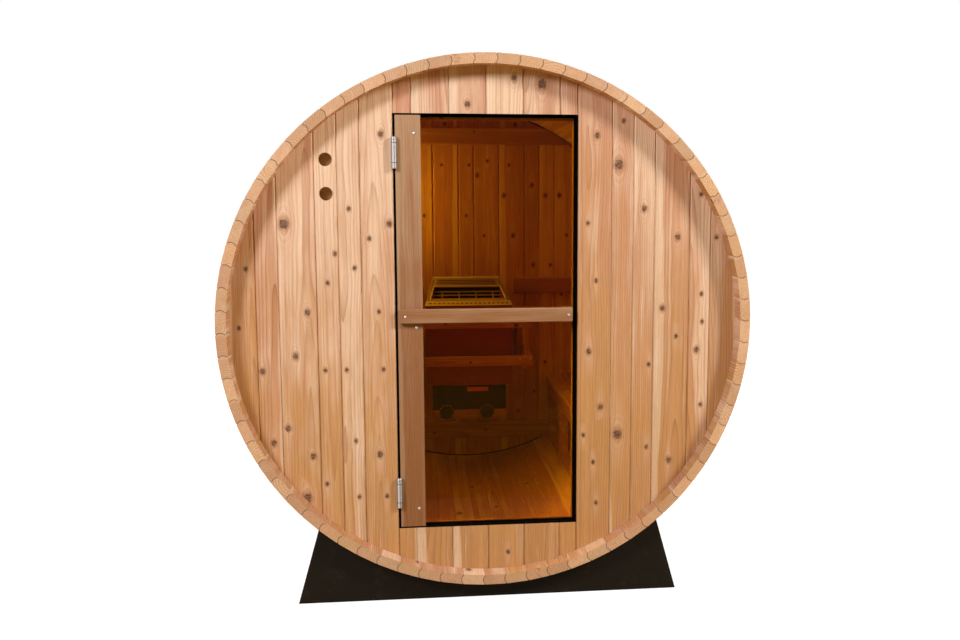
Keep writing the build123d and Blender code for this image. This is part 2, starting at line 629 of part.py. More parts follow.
# -------------------------------------------------------------- cradles, bands
def make_cradles():
    """A solid cradle under each end, hollowed to the barrel."""
    seat_radius = RADIUS + CRADLE_SEAT_PLAY
    shoulder = -math.sqrt(seat_radius**2 - CRADLE_HALF_TOP**2)
    corners = [
        (-CRADLE_HALF_BASE, -AXIS_HEIGHT),
        (CRADLE_HALF_BASE, -AXIS_HEIGHT),
        (CRADLE_HALF_TOP, shoulder),
        (-CRADLE_HALF_TOP, shoulder),
    ]
    section = Face(Wire(Polyline(*corners, close=True))) - Circle(seat_radius)
    front = FRONT_END + CRADLE_INSET
    back = BACK_END - CRADLE_INSET
    save("cradle_front", along_y(section, (front, front + CRADLE_THICKNESS)))
    save("cradle_rear", along_y(section, (back - CRADLE_THICKNESS, back)))


def make_band(name, middle):
    """A steel hoop with two lugs that a bolt draws together."""
    depth = (middle - BAND_WIDTH / 2, middle + BAND_WIDTH / 2)
    inner = RADIUS + BAND_PLAY
    outer = inner + BAND_THICKNESS
    hoop = along_y(Circle(outer) - Circle(inner), depth)
    lug = Box(BAND_LUG_THICKNESS, BAND_WIDTH, BAND_LUG_HEIGHT)
    lug_middle = inner + BAND_LUG_HEIGHT / 2
    place = round_clock(BAND_LUG_ANGLE)
    bolt_hole = place * Pos(0, middle, outer + BAND_LUG_HEIGHT / 2) * Rot(0, 90, 0)
    for side in (-1, 1):
        hoop += place * Pos(side * BAND_LUG_SPACING / 2, middle, lug_middle) * lug
    hoop -= bolt_hole * Cylinder(BAND_BOLT_DIAMETER / 2 + BAND_BOLT_PLAY, 2 * BAND_LUG_SPACING)
    bolt = bolt_hole * Cylinder(BAND_BOLT_DIAMETER / 2, BAND_LUG_SPACING + 2 * BAND_BOLT_OVERRUN)
    save(name, hoop, bolt)


os.makedirs("parts", exist_ok=True)
make_staves()
make_front_wall()
make_back_wall()
make_vent_screen()
make_casing()
make_hinge("upper", HINGE_OFFSET)
make_hinge("lower", -HINGE_OFFSET)
make_door()
make_heater()
make_heater_guard()
make_benches()
make_cradles()
make_band("band_front", FRONT_END + BAND_INSET)
make_band("band_rear", BACK_END - BAND_INSET)
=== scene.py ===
"""Looks of the barrel sauna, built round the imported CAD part. Metres, +Z up, -Y is the door end."""
import math
import random
from functools import partialmethod

import bmesh
import bpy
from mathutils import Euler, Matrix, Vector


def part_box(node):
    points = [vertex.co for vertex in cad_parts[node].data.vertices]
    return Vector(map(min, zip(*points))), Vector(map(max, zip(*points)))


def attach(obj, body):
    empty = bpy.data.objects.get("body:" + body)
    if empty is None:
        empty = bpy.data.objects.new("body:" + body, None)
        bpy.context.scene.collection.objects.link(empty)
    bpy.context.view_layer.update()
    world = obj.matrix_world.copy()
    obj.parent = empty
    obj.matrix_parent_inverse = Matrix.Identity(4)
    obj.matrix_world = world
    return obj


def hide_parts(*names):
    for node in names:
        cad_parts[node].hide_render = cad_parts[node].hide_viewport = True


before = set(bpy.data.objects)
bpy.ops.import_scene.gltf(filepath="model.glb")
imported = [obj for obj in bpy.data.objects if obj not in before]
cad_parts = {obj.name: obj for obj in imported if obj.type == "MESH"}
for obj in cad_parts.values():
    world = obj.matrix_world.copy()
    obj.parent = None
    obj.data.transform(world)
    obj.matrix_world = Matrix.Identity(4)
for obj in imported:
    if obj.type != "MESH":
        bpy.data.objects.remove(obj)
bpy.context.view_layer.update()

# ---- places from the frame
FRONT_END, BACK_END = [corner.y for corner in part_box("staves_01")]
BARREL_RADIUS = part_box("staves_03")[1].x
BACK_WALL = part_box("back_wall")
AXIS_HEIGHT = (BACK_WALL[0].z + BACK_WALL[1].z) / 2
WALL_RADIUS = (BACK_WALL[1].x - BACK_WALL[0].x) / 2
BACK_INSIDE, BACK_FACE = BACK_WALL[0].y, BACK_WALL[1].y
FRONT_FACE, FRONT_INSIDE = [corner.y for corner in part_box("front_wall_left")]
OPENING_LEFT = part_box("front_wall_left")[1].x
OPENING_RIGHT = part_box("front_wall_right")[0].x
OPENING_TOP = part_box("front_wall_over_door")[0].z - AXIS_HEIGHT

# ---- known sizes
STAVE_COUNT = 74
STAVE_THICKNESS = 0.035
STAVE_CHAMFER = 0.0025
BEAD_DEPTH = 0.006
FIRST_JOINT_ANGLE = math.radians(1.53)
WIDE_BOARD, NARROW_BOARD = 0.127, 0.076
LEFT_JAMB_BOARD, RIGHT_JAMB_BOARD = 0.113, 0.121
FRONT_VEE, BACK_VEE = 0.0042, 0.0058
VENT_RADIUS = 0.02275
BATTEN_GAP, BATTEN_GAP_MIDDLE = 0.50, -0.013

# ---- colours
HONEY = (0.63, 0.320, 0.110)
ROSE = (0.64, 0.315, 0.190)
CREAM = (0.88, 0.60, 0.385)
BROWN = (0.33, 0.130, 0.042)
SAPWOOD = (0.92, 0.70, 0.47)
KNOT_DARK = (0.050, 0.022, 0.011)
KNOT_BROWN = (0.24, 0.125, 0.075)
END_GRAIN = (0.70, 0.44, 0.235)


# ---- shader maths
class Field:
    """A number or vector that varies over a surface; arithmetic on it adds the nodes."""

    def __init__(self, tree, socket):
        self.tree = tree
        self.socket = socket

    def math(self, operation, *others):
        return add_node(self.tree, "Math", (self, *others), operation=operation)

    __add__ = partialmethod(math, "ADD")
    __sub__ = partialmethod(math, "SUBTRACT")
    __mul__ = partialmethod(math, "MULTIPLY")
    __truediv__ = partialmethod(math, "DIVIDE")
    __pow__ = partialmethod(math, "POWER")

    def __rsub__(self, other):
        return (self * -1) + other

    def smooth(self, low, high):
        """0 at low and under, 1 at high and over, eased between them."""
        slots = {"Value": self, "From Min": low, "From Max": high}
        return add_node(self.tree, "MapRange", slots, interpolation_type="SMOOTHSTEP")


def plug(slot, value):
    """Give an input a field, or a plain value."""
    if isinstance(value, Field):
        value.tree.links.new(value.socket, slot)
    else:
        slot.default_value = value


def add_node(tree, kind, slots=(), output=0, **settings):
    """Add a node with its settings and inputs; one of its outputs comes back as a field."""
    node = tree.nodes.new("ShaderNode" + kind)
    for name, value in settings.items():
        setattr(node, name, value)
    for key, value in slots.items() if isinstance(slots, dict) else enumerate(slots):
        plug(node.inputs[key], value)
    return Field(tree, node.outputs[output])


def tree_of(values):
    return next(value.tree for value in values if isinstance(value, Field))


def combine(*numbers):
    return add_node(tree_of(numbers), "CombineXYZ", numbers)


def separate(vector):
    node = vector.tree.nodes.new("ShaderNodeSeparateXYZ")
    plug(node.inputs[0], vector)
    return [Field(vector.tree, output) for output in node.outputs]


def noise(vector, scale, detail=2.0, roughness=0.5):
    slots = {"Vector": vector, "Scale": scale, "Detail": detail, "Roughness": roughness}
    return add_node(vector.tree, "TexNoise", slots)


def chance(*numbers):
    """Three even random numbers for each set of three numbers."""
    slots = {"Vector": combine(*numbers)}
    return separate(add_node(tree_of(numbers), "TexWhiteNoise", slots, "Color", noise_dimensions="3D"))


def mix(factor, first, second, blend="MIX"):
    """One colour over another; a colour is a field or a tuple."""
    colours = [value if isinstance(value, Field) else (*value, 1.0) for value in (first, second)]
    slots = {0: factor, 6: colours[0], 7: colours[1]}
    return add_node(tree_of((factor, first, second)), "Mix", slots, 2, data_type="RGBA", blend_type=blend)


def object_place(tree):
    return add_node(tree, "TexCoord", output="Object")


def new_material(name):
    """A material with only its Principled shader and output."""
    material = bpy.data.materials.new(name)
    material.use_nodes = True
    tree = material.node_tree
    return material, tree, tree.nodes["Principled BSDF"]


def bump(shader, height, distance, strength=1.0):
    slots = {"Strength": strength, "Distance": distance, "Height": height}
    plug(shader.inputs["Normal"], add_node(height.tree, "Bump", slots))


# ---- cedar wood
def cedar_group():
    """Solid cedar: rings about a leaning pith, streaks, sapwood and one knot per stretch.

    Place is (across, depth, along) in the board, Look is (seed, lightness, redness) and Knot is
    the knot's (across, along, radius), with a radius of 0 for none."""
    tree = bpy.data.node_groups.new("cedar", "ShaderNodeTree")
    for direction, kind, names in (
        ("INPUT", "Vector", ("Place", "Look", "Knot")),
        ("OUTPUT", "Color", ("Color",)),
        ("OUTPUT", "Float", ("Roughness", "Height", "Ring")),
    ):
        for name in names:
            tree.interface.new_socket(name, in_out=direction, socket_type="NodeSocket" + kind)
    given = tree.nodes.new("NodeGroupInput")
    result = tree.nodes.new("NodeGroupOutput")
    place, look, knot = [separate(Field(tree, output)) for output in list(given.outputs)[:3]]
    across, depth, along = place
    seed, lightness, redness = look
    knot_across, knot_along, knot_radius = knot

    pith_side, pith_depth, lean = chance(seed, 1.7, 3.1)
    ring_size, sap_side, sap_width = chance(seed, 8.3, 5.9)
    figure = chance(seed, 4.1, 7.7)[0]
    away = seed * 3.7

    # How far this point is from the knot, in knot radii, and how strongly the knot bends the grain.
    side = across - knot_across
    up = along - knot_along
    radius = knot_radius.math("MAXIMUM", 0.0001)
    has_knot = knot_radius.smooth(0.0005, 0.001)
    size = knot_radius.smooth(0.003, 0.008)
    near = ((side / radius / 2.4) ** 2 + (up / radius / 4.5) ** 2) * -1
    near = near.math("EXPONENT") * has_knot
    ragged = noise(combine(across + away, depth, along), 110.0, 4.0, 0.7)
    out = ((side / radius) ** 2 + (up / radius * 0.8) ** 2).math("SQRT") + ragged * 2.2 - 1.1
    eye = ((side / radius) ** 2 + (up / radius * 0.42) ** 2).math("SQRT")

    def lines(side, scale, along_scale, shift, detail, roughness=0.5):
        """Noise drawn out along the board; side is the place across it."""
        place = combine(side * scale + away, depth * scale, along * along_scale + shift)
        return noise(place, 1.0, detail, roughness)

    # Rings about the pith, which leans so that flat-sawn boards show long arches.
    drift = lines(across, 5, 1.3, 0, 2.0) - 0.5
    sway = lines(across, 22, 3.5, 7, 1.0) - 0.5
    bent = across - side * near * 0.8 + drift * 0.024 + sway * 0.007
    ring_x = bent - (pith_side - 0.5) * 0.17
    ring_y = pith_depth * 0.07 + 0.010 - depth + (lean - 0.5) * 0.055 * along + drift * 0.02
    distance = (ring_x ** 2 + ring_y ** 2).math("SQRT")
    phase = distance / (ring_size * 0.006 + 0.0036) + drift * 1.5 + away
    late = phase.math("FRACT") ** 4.0

    # Streaks along the board, from broad to fine.
    broad = lines(bent, 24, 0.9, 0, 3.0, 0.6)
    streak = lines(bent, 95, 2.0, 0, 5.0, 0.8)
    fibre = lines(bent, 700, 16, 0, 2.0, 0.6)
    patch = lines(bent, 14, 4.5, 3, 2.0)

    heart = mix(redness + (patch - 0.5) * 1.2, HONEY, ROSE)
    pale = ((broad - 0.5) * 2.6 + (patch - 0.5) * 1.0 + 0.27 + (lightness - 0.5) * 1.7).smooth(0.0, 1.0)
    body = mix(pale, heart, CREAM)
    body = mix((1.0 - lightness) * 0.40 - 0.08 + (streak - 0.5) * 2.3, body, BROWN)
    body = mix(late * (figure * 0.45 + 0.40), body, BROWN)
    body = mix((streak.smooth(0.52, 0.70) - late * 0.5) * 0.55, body, CREAM)

    # Short dark flecks of bark and pitch along the grain.
    fleck = lines(bent, 90, 13, 5, 2.0, 0.6)
    body = mix(fleck.smooth(0.735, 0.79) * 0.75, body, (0.20, 0.075, 0.028))

    # A pale strip of sapwood along one edge of some boards.
    edge = across * ((sap_side - 0.5).math("SIGN")) + drift * 0.05 + sway * 0.01
    sap = edge.smooth(0.028, 0.036) * sap_width.smooth(0.45, 0.49)
    body = mix(sap * 0.55, body, SAPWOOD)

    # Grain that swirls round a knot, the flame of paler wood beyond it, its collar and its core.
    flame = ((side / radius / 1.8) ** 2 + (up / radius / 8.0) ** 2) * -1
    body = mix(flame.math("EXPONENT") * has_knot * 0.34, body, CREAM)
    swirl = (eye * 1.25 + ragged * 0.9).math("FRACT") ** 2.0
    body = mix(swirl * near * 0.55, body, BROWN)
    collar = (1.0 - (out - 1.25).math("ABSOLUTE") / 0.8).math("MAXIMUM", 0.0) * has_knot
    body = mix(collar * 0.60, body, (0.36, 0.145, 0.055))
    core = (1.0 - out.smooth(0.70, 1.10)) * has_knot
    heartwood = mix(ragged.smooth(0.38, 0.60) * (size * 0.75 + 0.15), KNOT_DARK, KNOT_BROWN)
    body = mix(core * 0.94, body, heartwood)
    rim = (1.0 - (out - 0.95).math("ABSOLUTE") / 0.22).math("MAXIMUM", 0.0) * has_knot
    body = mix(rim * 0.65, body, KNOT_DARK)
    body = mix((fibre - 0.36) * 0.60, body, BROWN)

    rough = 0.62 - late * 0.10 + fibre * 0.12 - core * 0.18
    height = late * -0.35 + fibre * 0.55 + streak * 0.4 - core * 0.6
    for slot, value in zip(result.inputs, (body, rough, height, late)):
        plug(slot, value)
    return tree


CEDAR = cedar_group()


def use_cedar(name, grain, tint=(1.0, 1.0, 1.0), end_grain=None):
    """A cedar material; grain gives its place, look and knot from its node tree."""
    material, tree, shader = new_material(name)
    group = tree.nodes.new("ShaderNodeGroup")
    group.node_tree = CEDAR
    for slot, value in zip(group.inputs, grain(tree)):
        plug(slot, value)
    body, rough, height, ring = [Field(tree, output) for output in group.outputs]
    body = mix(1.0, body, tint, "MULTIPLY")
    if end_grain:
        body = end_grain(tree, body, ring)
    plug(shader.inputs["Base Color"], body)
    plug(shader.inputs["Roughness"], rough)
    shader.inputs["Specular IOR Level"].default_value = 0.2
    bump(shader, height, 0.0006)
    return material


def board_grain(tree):
    """Place, look and knot that each board carries."""
    names = ("place", "look", "knot")
    return [add_node(tree, "Attribute", output="Vector", attribute_name=name) for name in names]


def boards_cedar(name, tint=(1.0, 1.0, 1.0)):
    return use_cedar(name, board_grain, tint)


def frame_grain(tree):
    """Grain along the barrel, without knots."""
    x, y, z = separate(object_place(tree))
    return combine(x, z, y), (12.0, 0.45, 0.4), (0.0, 0.0, 0.0)


def stave_fields(tree):
    """Place and number of each stave, from the point's angle and distance about the barrel's axis."""
    x, y, z = separate(object_place(tree))
    up = z - AXIS_HEIGHT
    radius = (x ** 2.0 + up ** 2.0).math("SQRT")
    pitch = 2 * math.pi / STAVE_COUNT
    middle = BARREL_RADIUS - STAVE_THICKNESS / 2
    land = STAVE_THICKNESS / 2 - STAVE_CHAMFER
    bead = (1.0 - ((radius - middle) / land) ** 2.0).math("MAXIMUM", 0.0) * BEAD_DEPTH
    angle = x.math("ARCTAN2", up) - bead / radius - FIRST_JOINT_ANGLE
    turns = angle / pitch
    number = turns.math("FLOOR")
    across = (turns - number - 0.5) * radius * pitch
    return across, radius * -1 + BARREL_RADIUS, y, number


def stave_grain(tree):
    """Place, look and knot of a stave, with at most one knot in each stretch, well inside it."""
    stretch = 0.31
    across, depth, along, number = stave_fields(tree)
    lightness, redness, _ = chance(number, 2.0, 9.0)
    stagger = number * 0.37
    cell = (along / stretch + stagger).math("FLOOR")
    side, up, size = chance(number, cell, 4.0)
    middle = (cell + 0.5 - stagger + (up - 0.5) * 0.45) * stretch
    radius = (size - 0.45).math("MAXIMUM", 0.0) * 0.018
    look = combine(number * 1.37 + 40, lightness * 0.5 + 0.3, redness)
    return combine(across, depth, along), look, combine((side - 0.5) * 0.05, middle, radius)


def stave_ends(tree, body, ring):
    """End grain: duller wood with dark rings, a tone for each stave and painted shade along the joints
    between them.
    """
    normal = separate(add_node(tree, "TexCoord", output="Normal"))
    end = normal[1].math("ABSOLUTE").smooth(0.8, 0.95)
    across, depth, _, number = stave_fields(tree)
    tone, tint, _ = chance(number, 7.0, 3.0)
    grain = mix(tone, shade(END_GRAIN, 0.80), shade(END_GRAIN, 1.28))
    grain = mix(tint * 0.4, grain, ROSE)
    rough_cut = noise(combine(across * 300 + number * 3.1, depth * 90, number), 1.0, 3.0, 0.7)
    grain = mix((rough_cut - 0.42) * 1.6, grain, BROWN)
    grain = mix(ring * 0.70, grain, BROWN)
    body = mix(end * 0.75, body, grain)
    # Painted shade: the end faces darken within about two millimetres of the stave joints, where the
    # hairline gaps lie in shadow.
    half = math.pi * BARREL_RADIUS / STAVE_COUNT
    scale = (BARREL_RADIUS - depth) / BARREL_RADIUS * half
    painted_joint_shade = (across.math("ABSOLUTE") - scale).smooth(-0.0022, -0.0006) * end
    return mix(painted_joint_shade * 0.85, body, (0.10, 0.040, 0.014))


# ---- materials
def shade(colour, times):
    return tuple(part * times for part in colour)


def plain(name, base, roughness, metallic=0.0, specular=0.5):
    """A material of one colour, with its node tree and shader."""
    material, tree, shader = new_material(name)
    shader.inputs["Base Color"].default_value = (*base, 1.0)
    shader.inputs["Roughness"].default_value = roughness
    shader.inputs["Metallic"].default_value = metallic
    shader.inputs["Specular IOR Level"].default_value = specular
    return material, tree, shader


def brushed_steel(name, base, roughness, grain, metallic=1.0):
    """Satin steel with fine lines across one axis."""
    material, tree, shader = plain(name, base, roughness, metallic)
    place = object_place(tree)
    lines = noise(combine(*[part * scale for part, scale in zip(separate(place), grain)]), 1.0, 3.0, 0.6)
    plug(shader.inputs["Roughness"], lines * 0.22 + (roughness - 0.10))
    plug(shader.inputs["Base Color"], mix(noise(place, 30.0, 3.0), shade(base, 0.82), base))
    bump(shader, lines, 0.0001, 0.5)
    return material


BRONZE = (0.86, 0.50, 0.022)


def bronze_glass():
    """Tinted pane, which lamps shine through with the same tint."""
    material, tree, shader = plain("bronze_glass", BRONZE, 0.0)
    shader.inputs["Transmission Weight"].default_value = 1.0
    shader.inputs["IOR"].default_value = 1.5
    clear = add_node(tree, "BsdfTransparent", [(*[math.sqrt(part) for part in BRONZE], 1.0)])
    shadow = add_node(tree, "LightPath", output="Is Shadow Ray")
    pane = add_node(tree, "MixShader", (shadow, Field(tree, shader.outputs[0]), clear))
    plug(tree.nodes["Material Output"].inputs["Surface"], pane)
    return material


def cradle_black():
    """Black moulded surface with a little dust and scuffing."""
    material, tree, shader = plain("cradle_black", (0.012, 0.008, 0.005), 0.6, specular=0.08)
    place = object_place(tree)
    dust = noise(place, 14.0, 6.0, 0.7)
    specks = noise(place, 160.0, 2.0, 0.6)
    factor = dust.smooth(0.50, 0.78) * 0.35 + specks.smooth(0.62, 0.80) * 0.25
    plug(shader.inputs["Base Color"], mix(factor, (0.011, 0.0072, 0.0036), (0.055, 0.038, 0.021)))
    plug(shader.inputs["Roughness"], dust * 0.25 + 0.48)
    bump(shader, specks + dust * 0.5, 0.0008, 0.5)
    return material


def rubber_and_shade():
    """Matte black, without any gloss: the door's gasket and the hinges' set screws, and painted shade in the
    gaps round the door and between hinge knuckles.
    """
    material, tree, shader = plain("gasket_rubber_and_shade", (0.003, 0.003, 0.003), 0.65, specular=0.0)
    shader.inputs["IOR"].default_value = 1.0
    grain = noise(object_place(tree), 400.0, 2.0)
    plug(shader.inputs["Roughness"], grain * 0.3 + 0.4)
    bump(shader, grain, 0.0002, 0.4)
    return material


def enamel(name, base, roughness, specular=0.5):
    material, tree, shader = plain(name, base, roughness, specular=specular)
    grain = noise(object_place(tree), 240.0, 2.0)
    plug(shader.inputs["Base Color"], mix(grain, shade(base, 0.7), shade(base, 1.3)))
    bump(shader, grain, 0.0002, 0.4)
    return material


STAVE_CEDAR = use_cedar("stave_cedar", stave_grain, end_grain=stave_ends)
WALL_CEDAR = boards_cedar("wall_cedar")
TRIM_CEDAR = boards_cedar("trim_cedar", (0.96, 0.93, 0.90))
FRAME_CEDAR = use_cedar("frame_cedar", frame_grain, (0.94, 0.90, 0.86))
DOOR_WOOD = boards_cedar("door_wood", (0.535, 0.450, 0.365))
# Painted shade: the battens are tinted darker, as their faces catch only grazing light.
BATTEN_CEDAR_SHADED = boards_cedar("batten_cedar_shaded", (0.72, 0.64, 0.62))
# Painted shade: the casing is tinted darker, as it lies in shadow behind the pane.
CASING_CEDAR_SHADED = boards_cedar("casing_cedar_shaded", (0.50, 0.55, 0.55))
STAINLESS = brushed_steel("stainless", (0.90, 0.90, 0.90), 0.34, (60, 60, 900))
HINGE_STEEL = brushed_steel("hinge_steel", (0.50, 0.46, 0.43), 0.36, (900, 60, 60))
BAND_STEEL = brushed_steel("band_steel", (0.50, 0.50, 0.49), 0.30, (900, 60, 900))
HEATER_STEEL = brushed_steel("heater_steel", (0.62, 0.52, 0.36), 0.42, (20, 20, 400), 0.65)
# Partly painted highlight: pale and mostly unmetallic steel, so that the heater's flange and lip stay bright
# like the lamp's highlight on them.
LIP_STEEL_SHEEN = brushed_steel("lip_steel_sheen", (0.95, 0.92, 0.80), 0.45, (20, 20, 400), 0.25)
BURGUNDY = enamel("heater_enamel", (0.30, 0.033, 0.034), 0.45)
PANEL_BROWN = enamel("panel_brown", (0.42, 0.21, 0.10), 0.5)
# Pale paint for the dial marks, and for the knob pointer, where it also paints each knob's glint.
PALE_PAINT_AND_GLINT = enamel("pale_paint_and_glint", (0.95, 0.88, 0.60), 0.4)
SIGNAL_ORANGE = enamel("signal_orange", (0.75, 0.14, 0.03), 0.4)
GLASS = bronze_glass()
RUBBER_AND_SHADE = rubber_and_shade()
# Dark brown painted shade for the seam round the back wall.
BACK_JOINT_SHADE = enamel("back_joint_shade", (0.035, 0.016, 0.008), 0.8, 0.1)
CRADLE = cradle_black()
BLACK_ENAMEL = enamel("black_enamel", (0.007, 0.006, 0.005), 0.35, 0.12)
KNOB_PLASTIC = enamel("knob_plastic", (0.007, 0.006, 0.005), 0.30, 0.12)
MESH_BROWN = enamel("vent_mesh", (0.42, 0.25, 0.085), 0.6)


# ---- objects, shapes
def dress(node, material):
    """Give a CAD node its material."""
    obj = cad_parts[node]
    obj.data.materials.clear()
    obj.data.materials.append(material)
    return obj


def add_object(name, data, material=None):
    """Put a mesh, curve, lamp or camera in the scene."""
    if material:
        data.materials.append(material)
    obj = bpy.data.objects.new(name, data)
    bpy.context.scene.collection.objects.link(obj)
    return obj


def new_mesh(name, points, faces):
    mesh = bpy.data.meshes.new(name)
    mesh.from_pydata(points, [], faces)
    return mesh


def finish_piece(obj, body, nodes=()):
    """Normals out, then ride and the CAD nodes that the piece stands for."""
    work = bmesh.new()
    work.from_mesh(obj.data)
    bmesh.ops.recalc_face_normals(work, faces=work.faces)
    work.to_mesh(obj.data)
    work.free()
    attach(obj, body)
    if nodes:
        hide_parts(*nodes)
    return obj


def round_edges(obj, width, segments=3):
    rounding = obj.modifiers.new("bevel", "BEVEL")
    rounding.width = width
    rounding.segments = segments
    rounding.limit_method = "ANGLE"


def tube_faces(count, rings, start=0, looped=False):
    """Faces that join rings of points one to the next, with flat ends unless the last meets the first."""
    faces = []
    for ring in range(rings if looped else rings - 1):
        base, beyond = start + ring * count, start + (ring + 1) % rings * count
        for index in range(count):
            following = (index + 1) % count
            faces.append([base + index, base + following, beyond + following, beyond + index])
    if not looped:
        last = start + (rings - 1) * count
        faces += [list(reversed(range(start, start + count))), list(range(last, last + count))]
    return faces


def circle(x, y, radius, count=16):
    angles = [2 * math.pi * index / count for index in range(count)]
    return [(x + radius * math.cos(angle), y + radius * math.sin(angle)) for angle in angles]


def box_shape(low, high):
    """Points and faces of a box between two corners."""
    corners = ((low[0], low[1]), (high[0], low[1]), (high[0], high[1]), (low[0], high[1]))
    return [(x, y, z) for z in (low[2], high[2]) for x, y in corners], tube_faces(4, 2)


def border(low, high, left, right, bottom, top):
    """Boxes of a frame round an opening: left, right, then the top and bottom between them."""
    return [
        (low, (left, high[1], high[2])),
        ((right, low[1], low[2]), high),
        ((left, low[1], top), (right, high[1], high[2])),
        ((left, low[1], low[2]), (right, high[1], bottom)),
    ]


def turned(profile, centre):
    """Points and faces of a profile of (radius, height) turned about an upright axis."""
    points = [(x, y, height) for radius, height in profile for x, y in circle(*centre, radius, 32)]
    return points, tube_faces(32, len(profile))


def make_piece(name, shapes, material, slot, body="cabin", nodes=(), bevel=0.0):
    """Closed shapes of (points, faces) as one piece, with rounded edges if asked."""
    points, faces = [], []
    for shape_points, shape_faces in shapes:
        start = len(points)
        points += shape_points
        faces += [[start + index for index in face] for face in shape_faces]
    obj = add_object(name, new_mesh(name, points, faces), material)
    if bevel:
        round_edges(obj, bevel)
    return finish_piece(obj, body, nodes)


def make_boxes(name, boxes, *details, **more):
    """Boxes between pairs of corners as one piece."""
    return make_piece(name, [box_shape(low, high) for low, high in boxes], *details, **more)


def flat_plate(name, outline, holes, thickness, place, rotation, material):
    """A thin plate with holes: outline and holes are lists of (x, y) points in its own plane."""
    curve = bpy.data.curves.new(name, "CURVE")
    curve.dimensions = "2D"
    curve.fill_mode = "BOTH"
    curve.extrude = thickness / 2
    for loop in [outline] + holes:
        spline = curve.splines.new("POLY")
        spline.points.add(len(loop) - 1)
        for point, (x, y) in zip(spline.points, loop):
            point.co = (x, y, 0, 1)
        spline.use_cyclic_u = True
    source = add_object(name + "_curve", curve)
    mesh = bpy.data.meshes.new_from_object(source)
    bpy.data.objects.remove(source)
    mesh.transform(Matrix.Translation(place) @ rotation.to_4x4())
    mesh.materials.clear()
    obj = add_object(name, mesh, material)
    weld = obj.modifiers.new("weld", "WELD")
    weld.merge_threshold = 0.00001
    return finish_piece(obj, "cabin")


# ---- timber
NO_KNOT = (0.0, 0.0, 0.0)


class Timber:
    """Boards gathered into one mesh, each with its own grain and knots.

    Drift is how much lighter and redder a board grows in a metre of its length; the front wall and door
    stile set it as painted light, lighter towards the top where light falls from above."""

    def __init__(self, name, seed, drift=(0.0, 0.0)):
        self.name = name
        self.random = random.Random(seed)
        self.drift = drift
        self.points, self.faces = [], []
        self.places, self.looks, self.knots = [], [], []

    def board(self, origin, across, deep, section, ends, knots=None, look=None):
        """Sweep a section of (across, depth) points between two ends.

        ends gives the low and high end along the board for a point across it. Across and deep are
        unit vectors; along is square to both. Knots are (across, along, radius), in rising order."""
        across, deep = Vector(across), Vector(deep)
        along = across.cross(deep)
        low, high = ends(0.0)
        if knots is None:
            knots = self.some_knots(max(side for side, _ in section), low, high)
        if look is None:
            look = (self.random.uniform(0.25, 0.75), self.random.random())
        seed = self.random.uniform(0, 90)
        between = [(before[1] + after[1]) / 2 for before, after in zip(knots, knots[1:])]
        cuts = [0.0] + [(place - low) / (high - low) for place in between] + [1.0]
        self.faces += tube_faces(len(section), len(cuts), len(self.points))
        for knot in knots or [NO_KNOT]:
            self.knots += [knot] * len(section)
        self.knots += [NO_KNOT] * 2
        for cut in cuts:
            for side, depth in section:
                bottom, top = ends(side)
                up = bottom + (top - bottom) * cut
                self.points.append(origin + across * side + deep * depth + along * up)
                self.places.append((side, depth, up))
                # The drift, where set, is painted light: lighter and redder higher up.
                self.looks.append((seed, look[0] + self.drift[0] * up, look[1] + self.drift[1] * up))

    def some_knots(self, width, low, high):
        """Knots scattered along a board, about three a metre."""
        knots = []
        place = low + self.random.uniform(0.05, 0.35)
        while place < high - 0.03:
            radius = self.random.choice((0.003, 0.004, 0.005, 0.006, 0.008))
            knots.append((self.random.uniform(-0.7, 0.7) * width, place, radius))
            place += self.random.uniform(0.14, 0.50)
        return knots

    def build(self, slot, material, *nodes, body="cabin"):
        """Make the object, and let it stand for the CAD nodes."""
        mesh = new_mesh(self.name, self.points, self.faces)
        for name, domain, rows in (
            ("place", "POINT", self.places), ("look", "POINT", self.looks), ("knot", "FACE", self.knots),
        ):
            layer = mesh.attributes.new(name, "FLOAT_VECTOR", domain)
            layer.data.foreach_set("vector", [value for row in rows for value in row])
        return finish_piece(add_object(self.name, mesh, material), body, nodes)


def vee_section(width, thickness, vee):
    """Tongue and groove board: V edges on both faces and a hairline gap at each."""
    half, gap, shoulder, steps = width / 2, 0.0007, 0.009, 6
    across = [-half + vee + (width - 2 * vee) * step / steps for step in range(steps + 1)]
    right = [(half - gap, vee - gap), (half - gap, shoulder), (half, shoulder)]
    right += [(side, thickness - depth) for side, depth in reversed(right)]
    left = [(-side, depth) for side, depth in reversed(right)]
    front, back = [(side, 0.0) for side in across], [(side, thickness) for side in reversed(across)]
    return front + right + back + left


def eased_section(width, thickness, ease):
    """Planed board with rounded edges."""
    points = []
    for side, far, start in ((1, 0, -90), (1, 1, 0), (-1, 1, 90), (-1, 0, 180)):
        centre_a = side * (width / 2 - ease)
        centre_d = thickness - ease if far else ease
        for turn in (0, 30, 60, 90):
            angle = math.radians(start + turn)
            points.append((centre_a + ease * math.cos(angle), centre_d + ease * math.sin(angle)))
    return points


def bar(timber, low, high, grain, ease=0.003, knots=None, look=None):
    """A planed bar that fills a box, with its grain along an axis."""
    low, high = Vector(low), Vector(high)
    axes = [axis for axis in range(3) if axis != grain]
    deep_axis = 1 if 1 in axes else axes[1]
    across_axis = axes[0] + axes[1] - deep_axis
    across, deep = Vector(), Vector()
    across[across_axis] = deep[deep_axis] = 1.0
    if across.cross(deep)[grain] < 0:
        across *= -1
    origin = (low + high) / 2
    origin[deep_axis] = low[deep_axis]
    origin[grain] = 0.0
    size = high - low
    section = eased_section(size[across_axis], size[deep_axis], ease)
    timber.board(origin, across, deep, section, lambda side: (low[grain], high[grain]), knots, look)
